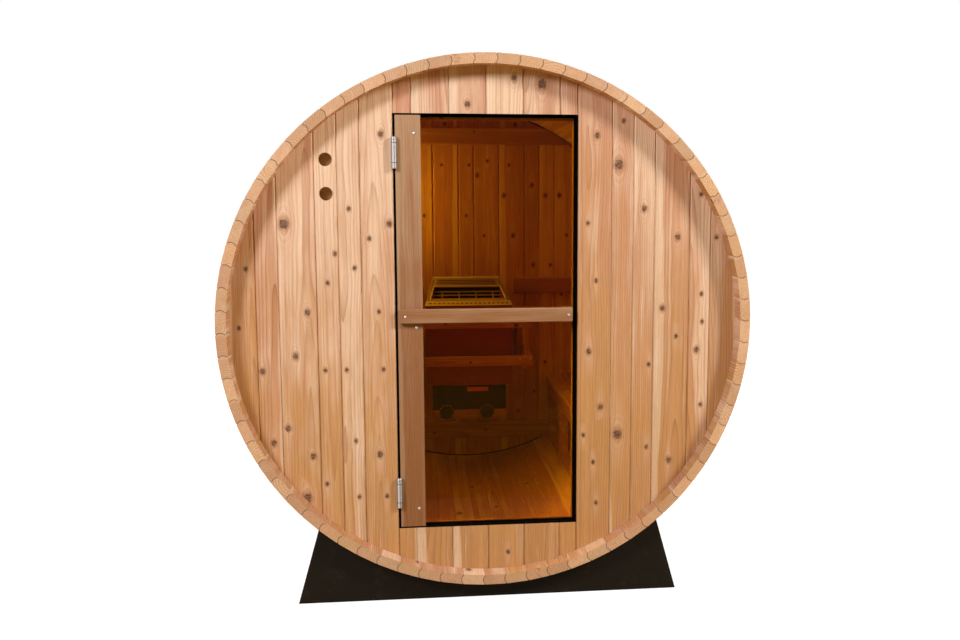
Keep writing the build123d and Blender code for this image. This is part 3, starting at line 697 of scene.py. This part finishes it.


# ---- end walls
# Knots of each board, listed one by one: height above the axis, place across the board from -1 at its left
# edge to 1 at its right, and radius. Front boards run outward from the door, or from left to right over
# and under it. Back boards are numbered from the left, and those without a list take scattered knots.
SMALL, MEDIUM, LARGE = 0.0055, 0.0078, 0.0130
LEFT_KNOTS = [
    [(-0.60, 0.3, SMALL), (-0.45, -0.1, MEDIUM), (-0.15, 0.2, SMALL), (0.05, 0.0, SMALL),
     (0.30, -0.5, SMALL), (0.35, 0.7, MEDIUM), (0.65, 0.3, MEDIUM)],
    [(-0.60, 0.4, SMALL), (-0.40, 0.2, SMALL), (-0.15, -0.5, SMALL), (0.20, 0.4, SMALL), (0.40, 0.0, SMALL)],
    [(-0.55, -0.5, SMALL), (-0.15, -0.4, SMALL), (0.15, 0.0, SMALL), (0.25, 0.7, SMALL)],
    [(-0.60, 0.2, LARGE), (-0.45, 0.6, MEDIUM), (-0.35, -0.7, MEDIUM), (-0.10, -0.2, MEDIUM),
     (0.05, 0.5, MEDIUM), (0.35, -0.6, LARGE)],
    [(-0.40, 0.2, MEDIUM), (-0.15, -0.6, MEDIUM)],
    [(0.00, -0.2, SMALL), (0.20, 0.4, SMALL)],
]
RIGHT_KNOTS = [
    [(-0.65, 0.2, SMALL), (-0.50, 0.0, SMALL), (-0.40, -0.6, SMALL), (-0.30, 0.4, MEDIUM),
     (-0.10, -0.3, MEDIUM), (0.15, 0.1, SMALL), (0.35, -0.4, SMALL), (0.65, 0.1, MEDIUM)],
    [(-0.40, -0.3, LARGE), (0.55, -0.4, LARGE), (0.70, 0.0, SMALL)],
    [(-0.45, 0.5, SMALL), (-0.15, 0.6, SMALL), (0.40, 0.0, MEDIUM)],
    [(-0.50, 0.0, MEDIUM), (-0.05, 0.3, SMALL), (0.05, -0.5, MEDIUM), (0.30, 0.3, MEDIUM)],
    [(-0.30, 0.3, SMALL), (-0.10, -0.2, MEDIUM), (0.00, 0.3, SMALL), (0.10, 0.2, SMALL), (0.45, 0.0, SMALL)],
    [(0.30, -0.6, SMALL)],
]
OVER_KNOTS = [[], [], [(0.75, 0.0, MEDIUM)], [(0.84, 0.5, MEDIUM)], [(0.82, 0.0, LARGE)], []]
UNDER_KNOTS = [[], [], [], [(-0.82, 0.1, SMALL)], [], []]
BACK_KNOTS = {
    6: [(-0.35, -0.2, MEDIUM), (0.35, 0.3, SMALL)],
    7: [(-0.45, -0.2, SMALL), (0.60, -0.3, SMALL), (0.80, 0.0, SMALL)],
    8: [(-0.65, 0.1, MEDIUM), (-0.30, 0.5, SMALL), (0.35, 0.0, SMALL), (0.60, 0.4, SMALL)],
    9: [(-0.50, 0.3, SMALL), (0.25, -0.2, SMALL), (0.55, -0.7, MEDIUM), (0.62, 0.1, SMALL)],
    10: [(-0.65, 0.5, MEDIUM), (-0.20, -0.3, SMALL), (0.25, 0.1, MEDIUM), (0.45, -0.6, MEDIUM),
         (0.60, -0.2, SMALL), (0.80, 0.3, MEDIUM)],
    11: [(-0.55, 0.3, SMALL), (0.10, 0.2, MEDIUM), (0.50, 0.0, MEDIUM)],
    12: [(-0.40, -0.2, SMALL), (0.10, 0.5, SMALL), (0.45, -0.2, MEDIUM)],
    13: [(-0.60, 0.2, SMALL), (-0.05, -0.4, SMALL), (0.25, 0.0, SMALL), (0.45, -0.6, MEDIUM)],
}

# How light and how red each front board is at the axis, and how much more so a metre higher; that rise is
# painted light, the boards lighter and redder towards the top as the lamps fall from above.
LEFT_LOOKS = [(0.58, 0.45), (0.74, 0.40), (0.63, 0.40), (0.62, 0.45), (0.50, 0.60), (0.38, 0.20)]
RIGHT_LOOKS = [(0.33, 0.25), (0.42, 0.40), (0.52, 0.50), (0.40, 0.35), (0.68, 0.60), (0.45, 0.35)]
OVER_LOOKS = [(0.24, 0.4), (0.36, 0.5), (0.36, 0.6), (0.58, 0.6), (0.32, 0.8), (0.29, 0.5)]
UNDER_LOOKS = [(0.42, 0.2), (0.38, 0.2), (0.35, 0.2), (0.45, 0.25), (0.32, 0.2), (0.45, 0.3)]
FRONT_PAINTED_LIGHT_DRIFT = (0.30, 0.85)
# The stile too grows lighter and redder higher up, painted light; lower down it is darker.
STILE_LOOK, STILE_PAINTED_LIGHT_DRIFT = (-0.31, 0.20), (0.78, 0.30)
HANDLE_LOOK = (0.55, 0.35)


def wall_board(timber, left, right, face, inward, floor=None, ceiling=None, knots=None, look=None):
    """One upright board between two X values, its face at a Y value.

    Its ends are cut to the wall's circle, or square at a floor or a ceiling."""
    limit = WALL_RADIUS - 0.0015
    left, right = max(left, -limit), min(right, limit)
    middle, half = (left + right) / 2, (right - left) / 2

    def ends(side):
        reach = math.sqrt(max(WALL_RADIUS**2 - (middle + side * inward) ** 2, 0.0001))
        return -reach if floor is None else floor, reach if ceiling is None else ceiling

    own = knots and [(side * inward * half, z, radius) for z, side, radius in knots]
    section = vee_section(right - left, FRONT_INSIDE - FRONT_FACE, FRONT_VEE if inward > 0 else BACK_VEE)
    origin = Vector((middle, face, AXIS_HEIGHT))
    timber.board(origin, (inward, 0, 0), (0, inward, 0), section, ends, own, look)


def seams_from(start, widths, direction):
    """Seam positions from an edge outward, ending beyond the wall."""
    return [start + direction * sum(widths[:count]) for count in range(len(widths) + 1)]


def make_front_wall():
    widths = [NARROW_BOARD, NARROW_BOARD, WIDE_BOARD, NARROW_BOARD, WIDE_BOARD]
    left = seams_from(OPENING_LEFT, [LEFT_JAMB_BOARD] + widths, -1)
    right = seams_from(OPENING_RIGHT, [RIGHT_JAMB_BOARD] + widths, 1)
    centre = (OPENING_LEFT + OPENING_RIGHT) / 2
    door = [OPENING_LEFT] + [centre + index * WIDE_BOARD for index in range(-2, 3)] + [OPENING_RIGHT]
    vents_x = (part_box("vent_screen")[0].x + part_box("vent_screen")[1].x) / 2
    for place, seed, edges, floor, ceiling, knots, looks in (
        ("left", 11, left, None, None, LEFT_KNOTS, LEFT_LOOKS),
        ("right", 23, right, None, None, RIGHT_KNOTS, RIGHT_LOOKS),
        ("over_door", 31, door, OPENING_TOP, None, OVER_KNOTS, OVER_LOOKS),
        ("under_door", 47, door, None, -OPENING_TOP, UNDER_KNOTS, UNDER_LOOKS),
    ):
        node = "front_wall_" + place
        timber = Timber(node + "_boards", seed, FRONT_PAINTED_LIGHT_DRIFT)
        vent_timber = Timber("front_wall_vent_board", 12, FRONT_PAINTED_LIGHT_DRIFT)
        for first, second, own, look in zip(edges, edges[1:], knots, looks):
            low, high = sorted((first, second))
            boards = vent_timber if low < vents_x < high else timber
            wall_board(boards, low, high, FRONT_FACE, 1, floor, ceiling, own, look)
        timber.build("wall_cedar", WALL_CEDAR, node)
        if vent_timber.points:
            drill_vents(vent_timber.build("wall_cedar", WALL_CEDAR, node))


def drill_vents(wall):
    """Bore the two vents through the board, and lay its grain again round the new edges."""
    across = [vertex.co.x for vertex in wall.data.vertices]
    middle = (min(across) + max(across)) / 2
    height = wall.data.attributes["place"].data[0].vector[2]
    seed, lightness, redness = wall.data.attributes["look"].data[0].vector
    low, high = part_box("vent_screen")
    margin = (high.x - low.x) / 2
    for z in (low.z + margin, high.z - margin):
        bpy.ops.mesh.primitive_cylinder_add(
            radius=VENT_RADIUS, depth=0.2, vertices=64,
            location=((low.x + high.x) / 2, FRONT_FACE, z), rotation=(math.pi / 2, 0, 0),
        )
        cutter = bpy.context.object
        cut = wall.modifiers.new("vent", "BOOLEAN")
        cut.object = cutter
        cut.solver = "EXACT"
        bpy.context.view_layer.objects.active = wall
        bpy.ops.object.modifier_apply(modifier=cut.name)
        bpy.data.objects.remove(cutter)
    mesh = wall.data
    places, looks = mesh.attributes["place"].data, mesh.attributes["look"].data
    for vertex, place, look in zip(mesh.vertices, places, looks):
        place.vector = vertex.co - Vector((middle, FRONT_FACE, AXIS_HEIGHT))
        rise = place.vector[2] - height
        # Painted light: the vent board too grows lighter and redder higher up.
        look.vector = (seed, lightness + FRONT_PAINTED_LIGHT_DRIFT[0] * rise, redness + FRONT_PAINTED_LIGHT_DRIFT[1] * rise)


def make_back_wall():
    wide, narrow, first_seam = WIDE_BOARD, NARROW_BOARD, -0.161
    right = [wide, narrow, wide, wide, narrow, narrow, wide, narrow, wide, narrow]
    left = [wide, narrow, narrow, wide, narrow, wide, narrow]
    edges = sorted(seams_from(first_seam, right, 1) + seams_from(first_seam, left, -1)[1:])
    timber = Timber("back_wall_boards", 5)
    for index, (low, high) in enumerate(zip(edges, edges[1:])):
        wall_board(timber, low, high, BACK_FACE, -1, knots=BACK_KNOTS.get(index))
    timber.build("wall_cedar", WALL_CEDAR, "back_wall")

    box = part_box("back_wall_battens")
    height = 0.081
    timber = Timber("back_wall_batten_boards", 8)
    radius = BARREL_RADIUS - STAVE_THICKNESS - 0.004
    section = eased_section(height, box[1].y - box[0].y, 0.005)
    gap_left, gap_right = BATTEN_GAP_MIDDLE - BATTEN_GAP / 2, BATTEN_GAP_MIDDLE + BATTEN_GAP / 2
    for middle in (box[1].z - height / 2 - AXIS_HEIGHT, 0.0, box[0].z + height / 2 - AXIS_HEIGHT):

        def reach(side, middle=middle):
            return math.sqrt(radius**2 - (middle - side) ** 2)

        cuts = [lambda side: (-reach(side), reach(side))]
        if middle == 0.0:
            cuts = [lambda side: (-reach(side), gap_left), lambda side: (gap_right, reach(side))]
        for ends in cuts:
            timber.board(Vector((0, box[0].y, middle + AXIS_HEIGHT)), (0, 0, -1), (0, 1, 0), section, ends)
    # The battens' darker tint is painted shade.
    timber.build("trim_cedar", BATTEN_CEDAR_SHADED, "back_wall_battens")


# ---- door
def make_casing():
    """Casing boards round the opening, whose edges stop the door; the bottom one is narrower. Their darker
    tint is painted shade.
    """
    low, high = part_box("door_casing")
    lap, width, cut = 0.013, 0.064, 0.011
    boards = border(low, high, OPENING_LEFT, OPENING_RIGHT - lap, low.z + width - cut, high.z - width)
    timber = Timber("door_casing_boards", 61)
    for corners, grain in zip(boards, (2, 2, 0, 0)):
        bar(timber, *corners, grain)
    timber.build("trim_cedar", CASING_CEDAR_SHADED, "door_casing")


def make_door():
    for name, seed in (("door_stile", 71), ("door_inner_stile", 72)):
        timber = Timber(name + "_board", seed, STILE_PAINTED_LIGHT_DRIFT)
        bar(timber, *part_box(name), 2, 0.002, [], STILE_LOOK)
        timber.build("door_wood", DOOR_WOOD, name, body="door")
    spacer = 0.034
    for name, seed, stile, side in (
        ("door_handle_outer", 73, "door_stile", 0),
        ("door_handle_inner", 74, "door_inner_stile", 1),
    ):
        low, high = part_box(name)
        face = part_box(stile)[side].y
        near, far = sorted((face, (low, high)[side].y))
        timber = Timber(name + "_bar", seed)
        bar(timber, (low.x, near, low.z), (high.x, far, high.z), 0, 0.003, [], HANDLE_LOOK)
        near, far = sorted((face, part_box("door_glass")[side].y))
        bar(timber, (high.x - spacer, near, low.z), (high.x, far, high.z), 0, 0.001, [])
        timber.build("door_wood", DOOR_WOOD, name, body="door")
    dress("door_glass", GLASS)
    dress("door_gasket", RUBBER_AND_SHADE)
    for level in ("upper", "lower"):
        for piece in ("wall_leaf", "door_leaf", "pin"):
            dress(f"hinge_{level}_{piece}", HINGE_STEEL)


def screw_shape(radius):
    """Pan head with a cross recess, facing -Y, its seat at Y 0."""
    count = 32
    points = []
    for scale, height in ((1.0, 0.0), (0.98, 0.25), (0.86, 0.42), (0.62, 0.50)):
        points += [(x, -radius * height, z) for x, z in circle(0, 0, radius * scale, count)]
    for height, width in ((0.50, 1.0), (0.12, 0.85)):
        for index in range(count):
            angle = 2 * math.pi * index / count
            reach = radius * (0.14 + 0.40 * abs(math.cos(2 * angle)) ** 6) * width
            points.append((reach * math.cos(angle), -radius * height, reach * math.sin(angle)))
    return points, tube_faces(count, 6)


def make_screws(name, body, spots, radius=0.0045):
    """Screw heads facing -Y or, with a negative direction, +Y, joined into one piece."""
    points, faces = screw_shape(radius)
    turner = random.Random(len(spots))
    heads = []
    for x, y, z, way in spots:
        turn = Euler((0, turner.uniform(0, 3), 0)).to_matrix()
        spun = [turn @ Vector(point) for point in points]
        heads.append(([(x + point.x, y + point.y * way, z + point.z) for point in spun], faces))
    make_piece(name, heads, STAINLESS, "stainless", body)


def make_door_screws():
    stile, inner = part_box("door_stile"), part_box("door_inner_stile")
    x = stile[1].x - 0.022
    spots = [(x, stile[0].y, AXIS_HEIGHT + z, 1) for z in (0.653, -0.006, -0.648)]
    spots += [(x, inner[1].y, AXIS_HEIGHT + z, -1) for z in (0.640, -0.030, -0.640)]
    for name, side, way in (("door_handle_outer", 0, 1), ("door_handle_inner", 1, -1)):
        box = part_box(name)
        for x in (box[0].x + 0.018, box[1].x - 0.014):
            spots.append((x, box[side].y, (box[0].z + box[1].z) / 2, way))
    make_screws("door_screws", "door", spots)


def make_gap_shade_strips():
    """Painted shade: black strips on the jambs round the opening, and one on the stile's hinge side, that
    keep the gaps as dark as their shadow.
    """
    front, back = FRONT_FACE + 0.0015, FRONT_INSIDE - 0.005
    thick, hinge_gap = 0.0024, 0.0042
    left, right = OPENING_LEFT + thick, OPENING_RIGHT - thick
    low, high = AXIS_HEIGHT - OPENING_TOP, AXIS_HEIGHT + OPENING_TOP
    corners = (OPENING_LEFT, front, low), (OPENING_RIGHT, back, high)
    boxes = border(*corners, left, right, low + thick, high - thick)
    boxes[0] = corners[0], (left, back - 0.006, high)
    make_boxes("jamb_shade_strip", boxes, RUBBER_AND_SHADE, "gasket")
    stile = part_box("door_stile")
    strip = ((stile[0].x - hinge_gap, front + 0.003, stile[0].z), (stile[0].x, stile[1].y, stile[1].z))
    make_boxes("stile_shade_strip", [strip], RUBBER_AND_SHADE, "gasket", "door")


def make_hinge_details():
    """Dark rings of painted shade where the knuckles meet, rounded caps and a set screw in each hinge."""
    rings, caps, dots = [], [], []
    knuckle, half_gap, screw = 0.01825, 0.0008, 0.002
    for level in ("upper", "lower"):
        low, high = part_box(f"hinge_{level}_wall_leaf")
        pin_low, pin_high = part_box(f"hinge_{level}_pin")
        x, y = (pin_low.x + pin_high.x) / 2, (pin_low.y + pin_high.y) / 2
        radius = y - low.y
        # Painted shade: a thin black ring in each seam between knuckles.
        for z in (low.z + knuckle, high.z - knuckle):
            rings.append(turned([(radius + 0.0002, z - half_gap), (radius + 0.0002, z + half_gap)], (x, y)))
        for z, way in ((high.z, 1), (low.z, -1)):
            profile = ((0.0004, 0.0), (0.001, 0.0012), (0.003, 0.0022))
            caps.append(turned([(radius - inset, z + way * rise) for inset, rise in profile], (x, y)))
        front, z = low.y - 0.0004, high.z - 0.009
        dots.append(((x - screw, front, z - screw), (x + screw, front + screw, z + screw)))
    make_piece("hinge_knuckle_shade", rings, RUBBER_AND_SHADE, "gasket")
    make_piece("hinge_caps", caps, HINGE_STEEL, "stainless")
    make_boxes("hinge_set_screws", dots, RUBBER_AND_SHADE, "gasket", bevel=0.0008)


# ---- vents, heater
def make_vent_screen():
    """A woven screen in a thin frame behind the vents."""
    low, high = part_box("vent_screen")
    rim, pitch, wire = 0.006, 0.0016, 0.0008
    left, right, bottom, top = low.x + rim, high.x - rim, low.z + rim, high.z - rim
    boxes = border(low, high, left, right, bottom, top)
    middle = (low.y + high.y) / 2
    x = left + pitch / 2
    while x < right:
        boxes.append(((x - wire / 2, middle - wire, bottom), (x + wire / 2, middle, top)))
        x += pitch
    z = bottom + pitch / 2
    while z < top:
        boxes.append(((left, middle, z - wire / 2), (right, middle + wire, z + wire / 2)))
        z += pitch
    make_boxes("vent_mesh", boxes, MESH_BROWN, "vent_mesh", nodes=("vent_screen",))


def rolled_edge(corners, radius, place, rotation):
    """Points and faces of a closed round bar along a flat outline, mitred at its corners."""
    points = []
    for index, corner in enumerate(corners):
        here = Vector(corner)
        before = (here - Vector(corners[index - 1])).normalized()
        after = (Vector(corners[(index + 1) % len(corners)]) - here).normalized()
        side = Vector((before.y + after.y, -before.x - after.x)).normalized()
        reach = radius / max(side.dot(Vector((before.y, -before.x))), 0.3)
        for out, up in circle(0, 0, 1, 12):
            flat = here + side * reach * out
            points.append(place + rotation @ Vector((flat.x, flat.y, radius * up)))
    return points, tube_faces(12, len(corners), looped=True)


def make_heater_deck():
    """The slanted plate round the tray with its rows of holes, its flange and lip, and black plates of
    painted shade under the holes and in the tray.
    """
    low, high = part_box("heater_top")
    grill_low, grill_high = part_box("heater_grill")
    front_width, back_width = high.x - low.x, 0.330
    front_height = AXIS_HEIGHT - 0.070
    rise, run = high.z - front_height, high.y - low.y
    length = math.hypot(run, rise)
    middle = (low.x + high.x) / 2
    rotation = Matrix.Rotation(math.atan2(rise, run), 3, "X")

    def lifted(height):
        """Middle of the plate's front edge, raised square to the plate."""
        return Vector((middle, low.y, front_height)) + rotation @ Vector((0, 0, height))

    def half_width(up):
        return (front_width + (back_width - front_width) * up / length) / 2

    def edge_loop(start, end, inset):
        near, far = half_width(start) - inset, half_width(end) - inset
        return [(-near, start), (near, start), (far, end), (-far, end)]

    start, end = [(y - low.y) / run * length for y in (grill_low.y, grill_high.y)]
    inset, margin, slot_height = 0.019, 0.02, 0.009
    tray = edge_loop(start, end, inset)
    row_pitch, row_height, row_radius = 0.0215, 0.016, 0.0062
    count = int((front_width - margin) / row_pitch)
    columns = [(index - (count - 1) / 2) * row_pitch for index in range(count)]
    row = [circle(x, row_height, row_radius) for x in columns]
    holes = [tray] + row
    side_pitch, side_radius, side_inset = 0.015, 0.0044, 0.009
    up = 0.036
    while up < length - margin:
        holes += [circle(side * (half_width(up) - side_inset), up, side_radius, 10) for side in (-1, 1)]
        up += side_pitch
    for slot_start in (end + 0.012, end + 0.029, end + 0.046, end + 0.063):
        holes.append(edge_loop(slot_start, slot_start + slot_height, 0.028))
    outline = edge_loop(-0.004, length, -0.002)
    strip = edge_loop(-0.004, start - 0.007, -0.002)
    inner = edge_loop(0.002, length - 0.004, 0.002)
    for name, edge, openings, thickness, lift, material, slot in (
        ("heater_deck", outline, holes, 0.0014, 0.0012, HEATER_STEEL, "heater_steel"),
        # The flange's pale steel partly paints its highlight.
        ("heater_flange", strip, row, 0.0012, 0.0026, LIP_STEEL_SHEEN, "heater_steel"),
        # Painted shade: a black plate under the deck, so that its holes show dark.
        ("heater_deck_shade_plate", inner, [tray], 0.0004, 0.0002, BLACK_ENAMEL, "black_enamel"),
    ):
        flat_plate(name, edge, openings, thickness, lifted(lift), rotation, material)

    # A rolled lip round the tray, and the fold along the back of the plate, whose pale steel partly paints
    # their highlight.
    lip = rolled_edge(edge_loop(start - 0.002, end + 0.002, 0.017), 0.0045, lifted(0.0042), rotation)
    fold = rolled_edge(edge_loop(length - 0.012, length - 0.006, 0.006), 0.0025, lifted(0.0042), rotation)
    make_piece("heater_lip", [lip, fold], LIP_STEEL_SHEEN, "heater_steel")

    # Painted shade: black plates for the tray's floor and back, where its inside lies in shadow.
    flat = [(x, y / length * run) for x, y in tray]
    place = Vector((middle, low.y, low.z + 0.0012))
    flat_plate("heater_tray_floor_shade", flat, [], 0.002, place, Matrix.Identity(3), BLACK_ENAMEL)
    far = half_width(end) - inset - 0.001
    back_top = front_height + (grill_high.y - low.y) * rise / run
    back = (
        (middle - far, grill_high.y - 0.0015, low.z + 0.003),
        (middle + far, grill_high.y, back_top - 0.004),
    )
    make_boxes("heater_tray_back_shade", [back], BLACK_ENAMEL, "black_enamel")


def make_heater_front():
    """Rating plate and cover edge on the control box, and a dial and a pale pointer for each knob, the
    pointer also a painted glint.
    """
    low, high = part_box("heater_control_box")
    middle, face = (low.x + high.x) / 2, low.y
    plate = ((middle - 0.011, face - 0.0012, high.z - 0.030), (middle + 0.089, face, high.z - 0.010))
    make_boxes("heater_plate", [plate], SIGNAL_ORANGE, "heater_enamel", bevel=0.0004)
    panel = ((low.x + 0.001, face - 0.0008, low.z), (high.x - 0.001, face, low.z + 0.040))
    make_boxes("heater_panel", [panel], PANEL_BROWN, "heater_enamel", bevel=0.0003)
    knob_low, knob_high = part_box("heater_knobs")
    radius, dial_radius, mark_radius, mark = 0.029, 0.036, 0.0325, 0.0016
    height = knob_low.z + radius
    dials, pointer_glints, ticks = [], [], []
    for x in (knob_low.x + radius, knob_high.x - radius):
        rim = circle(x, height, dial_radius, 40)
        points = [(across, y, up) for y in (face - 0.0012, face - 0.0030) for across, up in rim]
        dials.append((points, tube_faces(40, 2)))
        corner = (x - 0.0018, knob_low.y - 0.0015, height + 0.002)
        # Painted glint: each pale pointer also stands for the knob's highlight.
        pointer_glints.append((corner, (x + 0.0018, knob_low.y, height + 0.014)))
        for angle in range(-120, 121, 30):
            left = x + math.sin(math.radians(angle)) * mark_radius - mark
            bottom = height + math.cos(math.radians(angle)) * mark_radius - mark
            far = (left + 2 * mark, face - 0.0030, bottom + 2 * mark)
            ticks.append(((left, face - 0.0036, bottom), far))
    make_piece("knob_dials", dials, KNOB_PLASTIC, "knob_plastic")
    make_boxes("knob_pointer_glints", pointer_glints, PALE_PAINT_AND_GLINT, "knob_plastic", bevel=0.0005)
    make_boxes("dial_marks", ticks, PALE_PAINT_AND_GLINT, "knob_plastic")


def make_heater():
    for part, material in (
        ("body", BURGUNDY), ("top", BURGUNDY), ("grill", HEATER_STEEL),
        ("control_box", BLACK_ENAMEL), ("knobs", KNOB_PLASTIC),
    ):
        dress("heater_" + part, material)
    make_heater_deck()
    make_heater_front()


def make_back_joint_shade():
    """Painted shade: a dark ring where the back wall meets the staves, inside, along the shadowed seam."""
    radius = BARREL_RADIUS - STAVE_THICKNESS
    outer, inner = circle(0, 0, radius - 0.0006, 160), circle(0, 0, radius - 0.0060, 160)
    place = Vector((0, BACK_INSIDE - 0.0008, AXIS_HEIGHT))
    upright = Matrix.Rotation(math.pi / 2, 3, "X")
    flat_plate("back_wall_joint_shade", outer, [inner], 0.0012, place, upright, BACK_JOINT_SHADE)


def make_guard():
    low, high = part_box("heater_guard")
    thickness, post, height, overrun = 0.019, 0.038, 0.045, 0.020
    left, right, front = low.x + thickness, high.x - thickness, low.y + thickness
    tops = (high.z, low.z + overrun + height)
    timber = Timber("heater_guard_rails", 81)
    for top in tops:
        bottom = top - height
        bar(timber, (low.x, low.y, bottom), (high.x, front, top), 0, 0.002)
        bar(timber, (low.x, front, bottom), (left, high.y, top), 1, 0.002)
        bar(timber, (right, front, bottom), (high.x, high.y, top), 1, 0.002)
    for near, far in ((front, front + post), (high.y - post, high.y)):
        bar(timber, (left, near, low.z), (low.x + post, far, high.z), 2, 0.002)
        bar(timber, (high.x - post, near, low.z), (right, far, high.z), 2, 0.002)
    timber.build("trim_cedar", TRIM_CEDAR, "heater_guard")
    columns = (low.x + 0.010, low.x + 0.060, high.x - 0.060, high.x - 0.010)
    spots = [(x, low.y, top - height / 2 + 0.008, 1) for top in tops for x in columns]
    make_screws("guard_screws", "cabin", spots, 0.0042)


def make_benches():
    """Slats for each bench seat, in two lengths; the CAD frames keep their shape."""
    count, gap, rear_length = 4, 0.006, 0.437
    for side, seed in (("right", 91), ("left", 92)):
        seat = f"bench_{side}_seat"
        low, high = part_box(seat)
        width = (high.x - low.x - (count - 1) * gap) / count
        split = high.y - rear_length
        timber = Timber(f"bench_{side}_slats", seed)
        for index in range(count):
            x = low.x + index * (width + gap)
            bar(timber, (x, low.y, low.z), (x + width, split - gap, high.z), 1, 0.005)
            bar(timber, (x, split, low.z), (x + width, high.y, high.z), 1, 0.005)
        timber.build("trim_cedar", TRIM_CEDAR, seat)
        dress(f"bench_{side}_frame", FRAME_CEDAR)


def make_shell():
    for index in range(1, 11):
        dress(f"staves_{index:02d}", STAVE_CEDAR)
    for end in ("front", "rear"):
        round_edges(dress("cradle_" + end, CRADLE), 0.004, 2)
        dress("band_" + end, BAND_STEEL)


# ---- camera, light
def make_camera():
    data = bpy.data.cameras.new("camera")
    data.lens = 38.4
    data.shift_x, data.shift_y = -0.05625, 0.0094
    camera = add_object("camera", data)
    camera.location = (-0.249, FRONT_END - 3.461, AXIS_HEIGHT + 0.436)
    camera.rotation_euler = (math.radians(90 - 7.28), 0, math.radians(-6.57))
    bpy.context.scene.camera = camera


def area_light(name, place, target, size, power, colour=(1, 1, 1), spread=180):
    """A square lamp that faces a target."""
    data = bpy.data.lights.new(name, "AREA")
    data.shape = "SQUARE"
    data.size = size
    data.energy = power
    data.color = colour
    data.spread = math.radians(spread)
    lamp = add_object(name, data)
    lamp.location = place
    lamp.rotation_euler = (Vector(target) - Vector(place)).to_track_quat("-Z", "Y").to_euler()
    lamp.visible_camera = False


def make_lights():
    """Two lamps before the door, softer ones for the other sides, and two small warm ones inside."""
    target = (0, FRONT_END, AXIS_HEIGHT)
    area_light("key", (3.9, FRONT_FACE - 2.85, 3.85), target, 1.2, 228, (1.01, 1.02, 1.05))
    area_light("fill", (-3.15, FRONT_FACE - 3.45, 3.7), target, 1.2, 202, (0.94, 1.0, 1.18))
    area_light("top", (0, 1.2, 5.2), (0, 0.3, 1), 2.0, 90)
    for side in (-1, 1):
        area_light(f"side_{side + 1}", (4.6 * side, 1.2, 2.6), (0, 0.1, 1), 2.0, 72)
        area_light(f"rear_{side + 1}", (2.6 * side, BACK_FACE + 2.6, 2.6), (0, BACK_END, 1), 1.6, 66)
    warm = (1.0, 0.82, 0.44)
    lamp = Vector((-0.62, 0.58, AXIS_HEIGHT + 0.45))
    area_light("room", lamp, lamp + Vector((0.90, 0.05, -0.08)), 0.10, 2.85, warm, 165)
    lamp = Vector((-0.52, FRONT_FACE + 0.20, AXIS_HEIGHT + 0.10))
    area_light("room_low", lamp, lamp + Vector((0.66, 0.10, -0.60)), 0.10, 1.0, warm, 85)


def seen_ray(tree):
    """1 for rays that see the studio: direct, in a reflection or through glass.

    It is 0 once a ray has lit a surface, or has been reflected behind a pane."""
    path = tree.nodes.new("ShaderNodeLightPath")
    names = ("Is Camera Ray", "Is Glossy Ray", "Is Transmission Ray")
    depths = ("Glossy Depth", "Transmission Depth", "Diffuse Depth")
    camera, glossy, through = [Field(tree, path.outputs[name]) for name in names]
    reflected, passed, spread = [Field(tree, path.outputs[name]) for name in depths]
    seen = camera.math("MAXIMUM", glossy).math("MAXIMUM", through)
    return seen * (1.0 - (reflected * passed + spread).math("MINIMUM", 1.0))


def make_world():
    """Soft warm light, seen as white."""
    world = bpy.data.worlds.new("studio")
    bpy.context.scene.world = world
    world.use_nodes = True
    tree = world.node_tree
    lit = tree.nodes["Background"]
    lit.inputs["Color"].default_value = (1.0, 0.82, 0.36, 1)
    lit.inputs["Strength"].default_value = 0.15
    white = add_node(tree, "Background", {"Color": (1, 1, 1, 1)})
    both = add_node(tree, "MixShader", (seen_ray(tree), Field(tree, lit.outputs[0]), white))
    plug(tree.nodes["World Output"].inputs["Surface"], both)


def make_floor():
    """A pale floor that stays white to the camera but keeps the shadow."""
    material, tree, shader = plain("studio_floor", (0.40, 0.40, 0.40), 0.9, specular=0.0)
    seen = seen_ray(tree)
    plug(shader.inputs["Base Color"], mix(seen, (0.42, 0.28, 0.10), (0.40, 0.40, 0.40)))
    x, y, _ = separate(object_place(tree))
    far_off = (x ** 2.0 + y ** 2.0).math("SQRT").smooth(1.6, 3.2)
    glow = add_node(tree, "Emission", {"Strength": seen * (far_off * 0.24 + 0.76)})
    both = add_node(tree, "AddShader", (Field(tree, shader.outputs[0]), glow))
    plug(tree.nodes["Material Output"].inputs["Surface"], both)
    size = 60.0
    corners = [(-size, -size, 0), (size, -size, 0), (size, size, 0), (-size, size, 0)]
    add_object("studio_floor", new_mesh("studio_floor", corners, [(0, 1, 2, 3)]), material)


def make_flag():
    """A dark cloth on the floor and upright before the door, seen only in reflections."""
    left, right, near, far, top = -0.30, 0.60, FRONT_END - 0.35, FRONT_END - 1.1, 2.0
    points = [(left, near, 0.002), (right, near, 0.002), (right, far, 0.002), (left, far, 0.002)]
    points += [(right, far, top), (left, far, top)]
    material = plain("studio_flag", (0.004, 0.008, 0.03), 1.0)[0]
    flag = add_object("studio_flag", new_mesh("studio_flag", points, [(0, 1, 2, 3), (3, 2, 4, 5)]), material)
    for kind in ("camera", "diffuse", "transmission", "volume_scatter", "shadow"):
        setattr(flag, f"visible_{kind}", False)


make_camera()
make_shell()
make_front_wall()
make_back_wall()
make_casing()
make_door()
make_door_screws()
make_gap_shade_strips()
make_hinge_details()
make_vent_screen()
make_heater()
make_back_joint_shade()
make_guard()
make_benches()
make_world()
make_floor()
make_flag()
make_lights()
bpy.context.scene.view_settings.view_transform = "Standard"
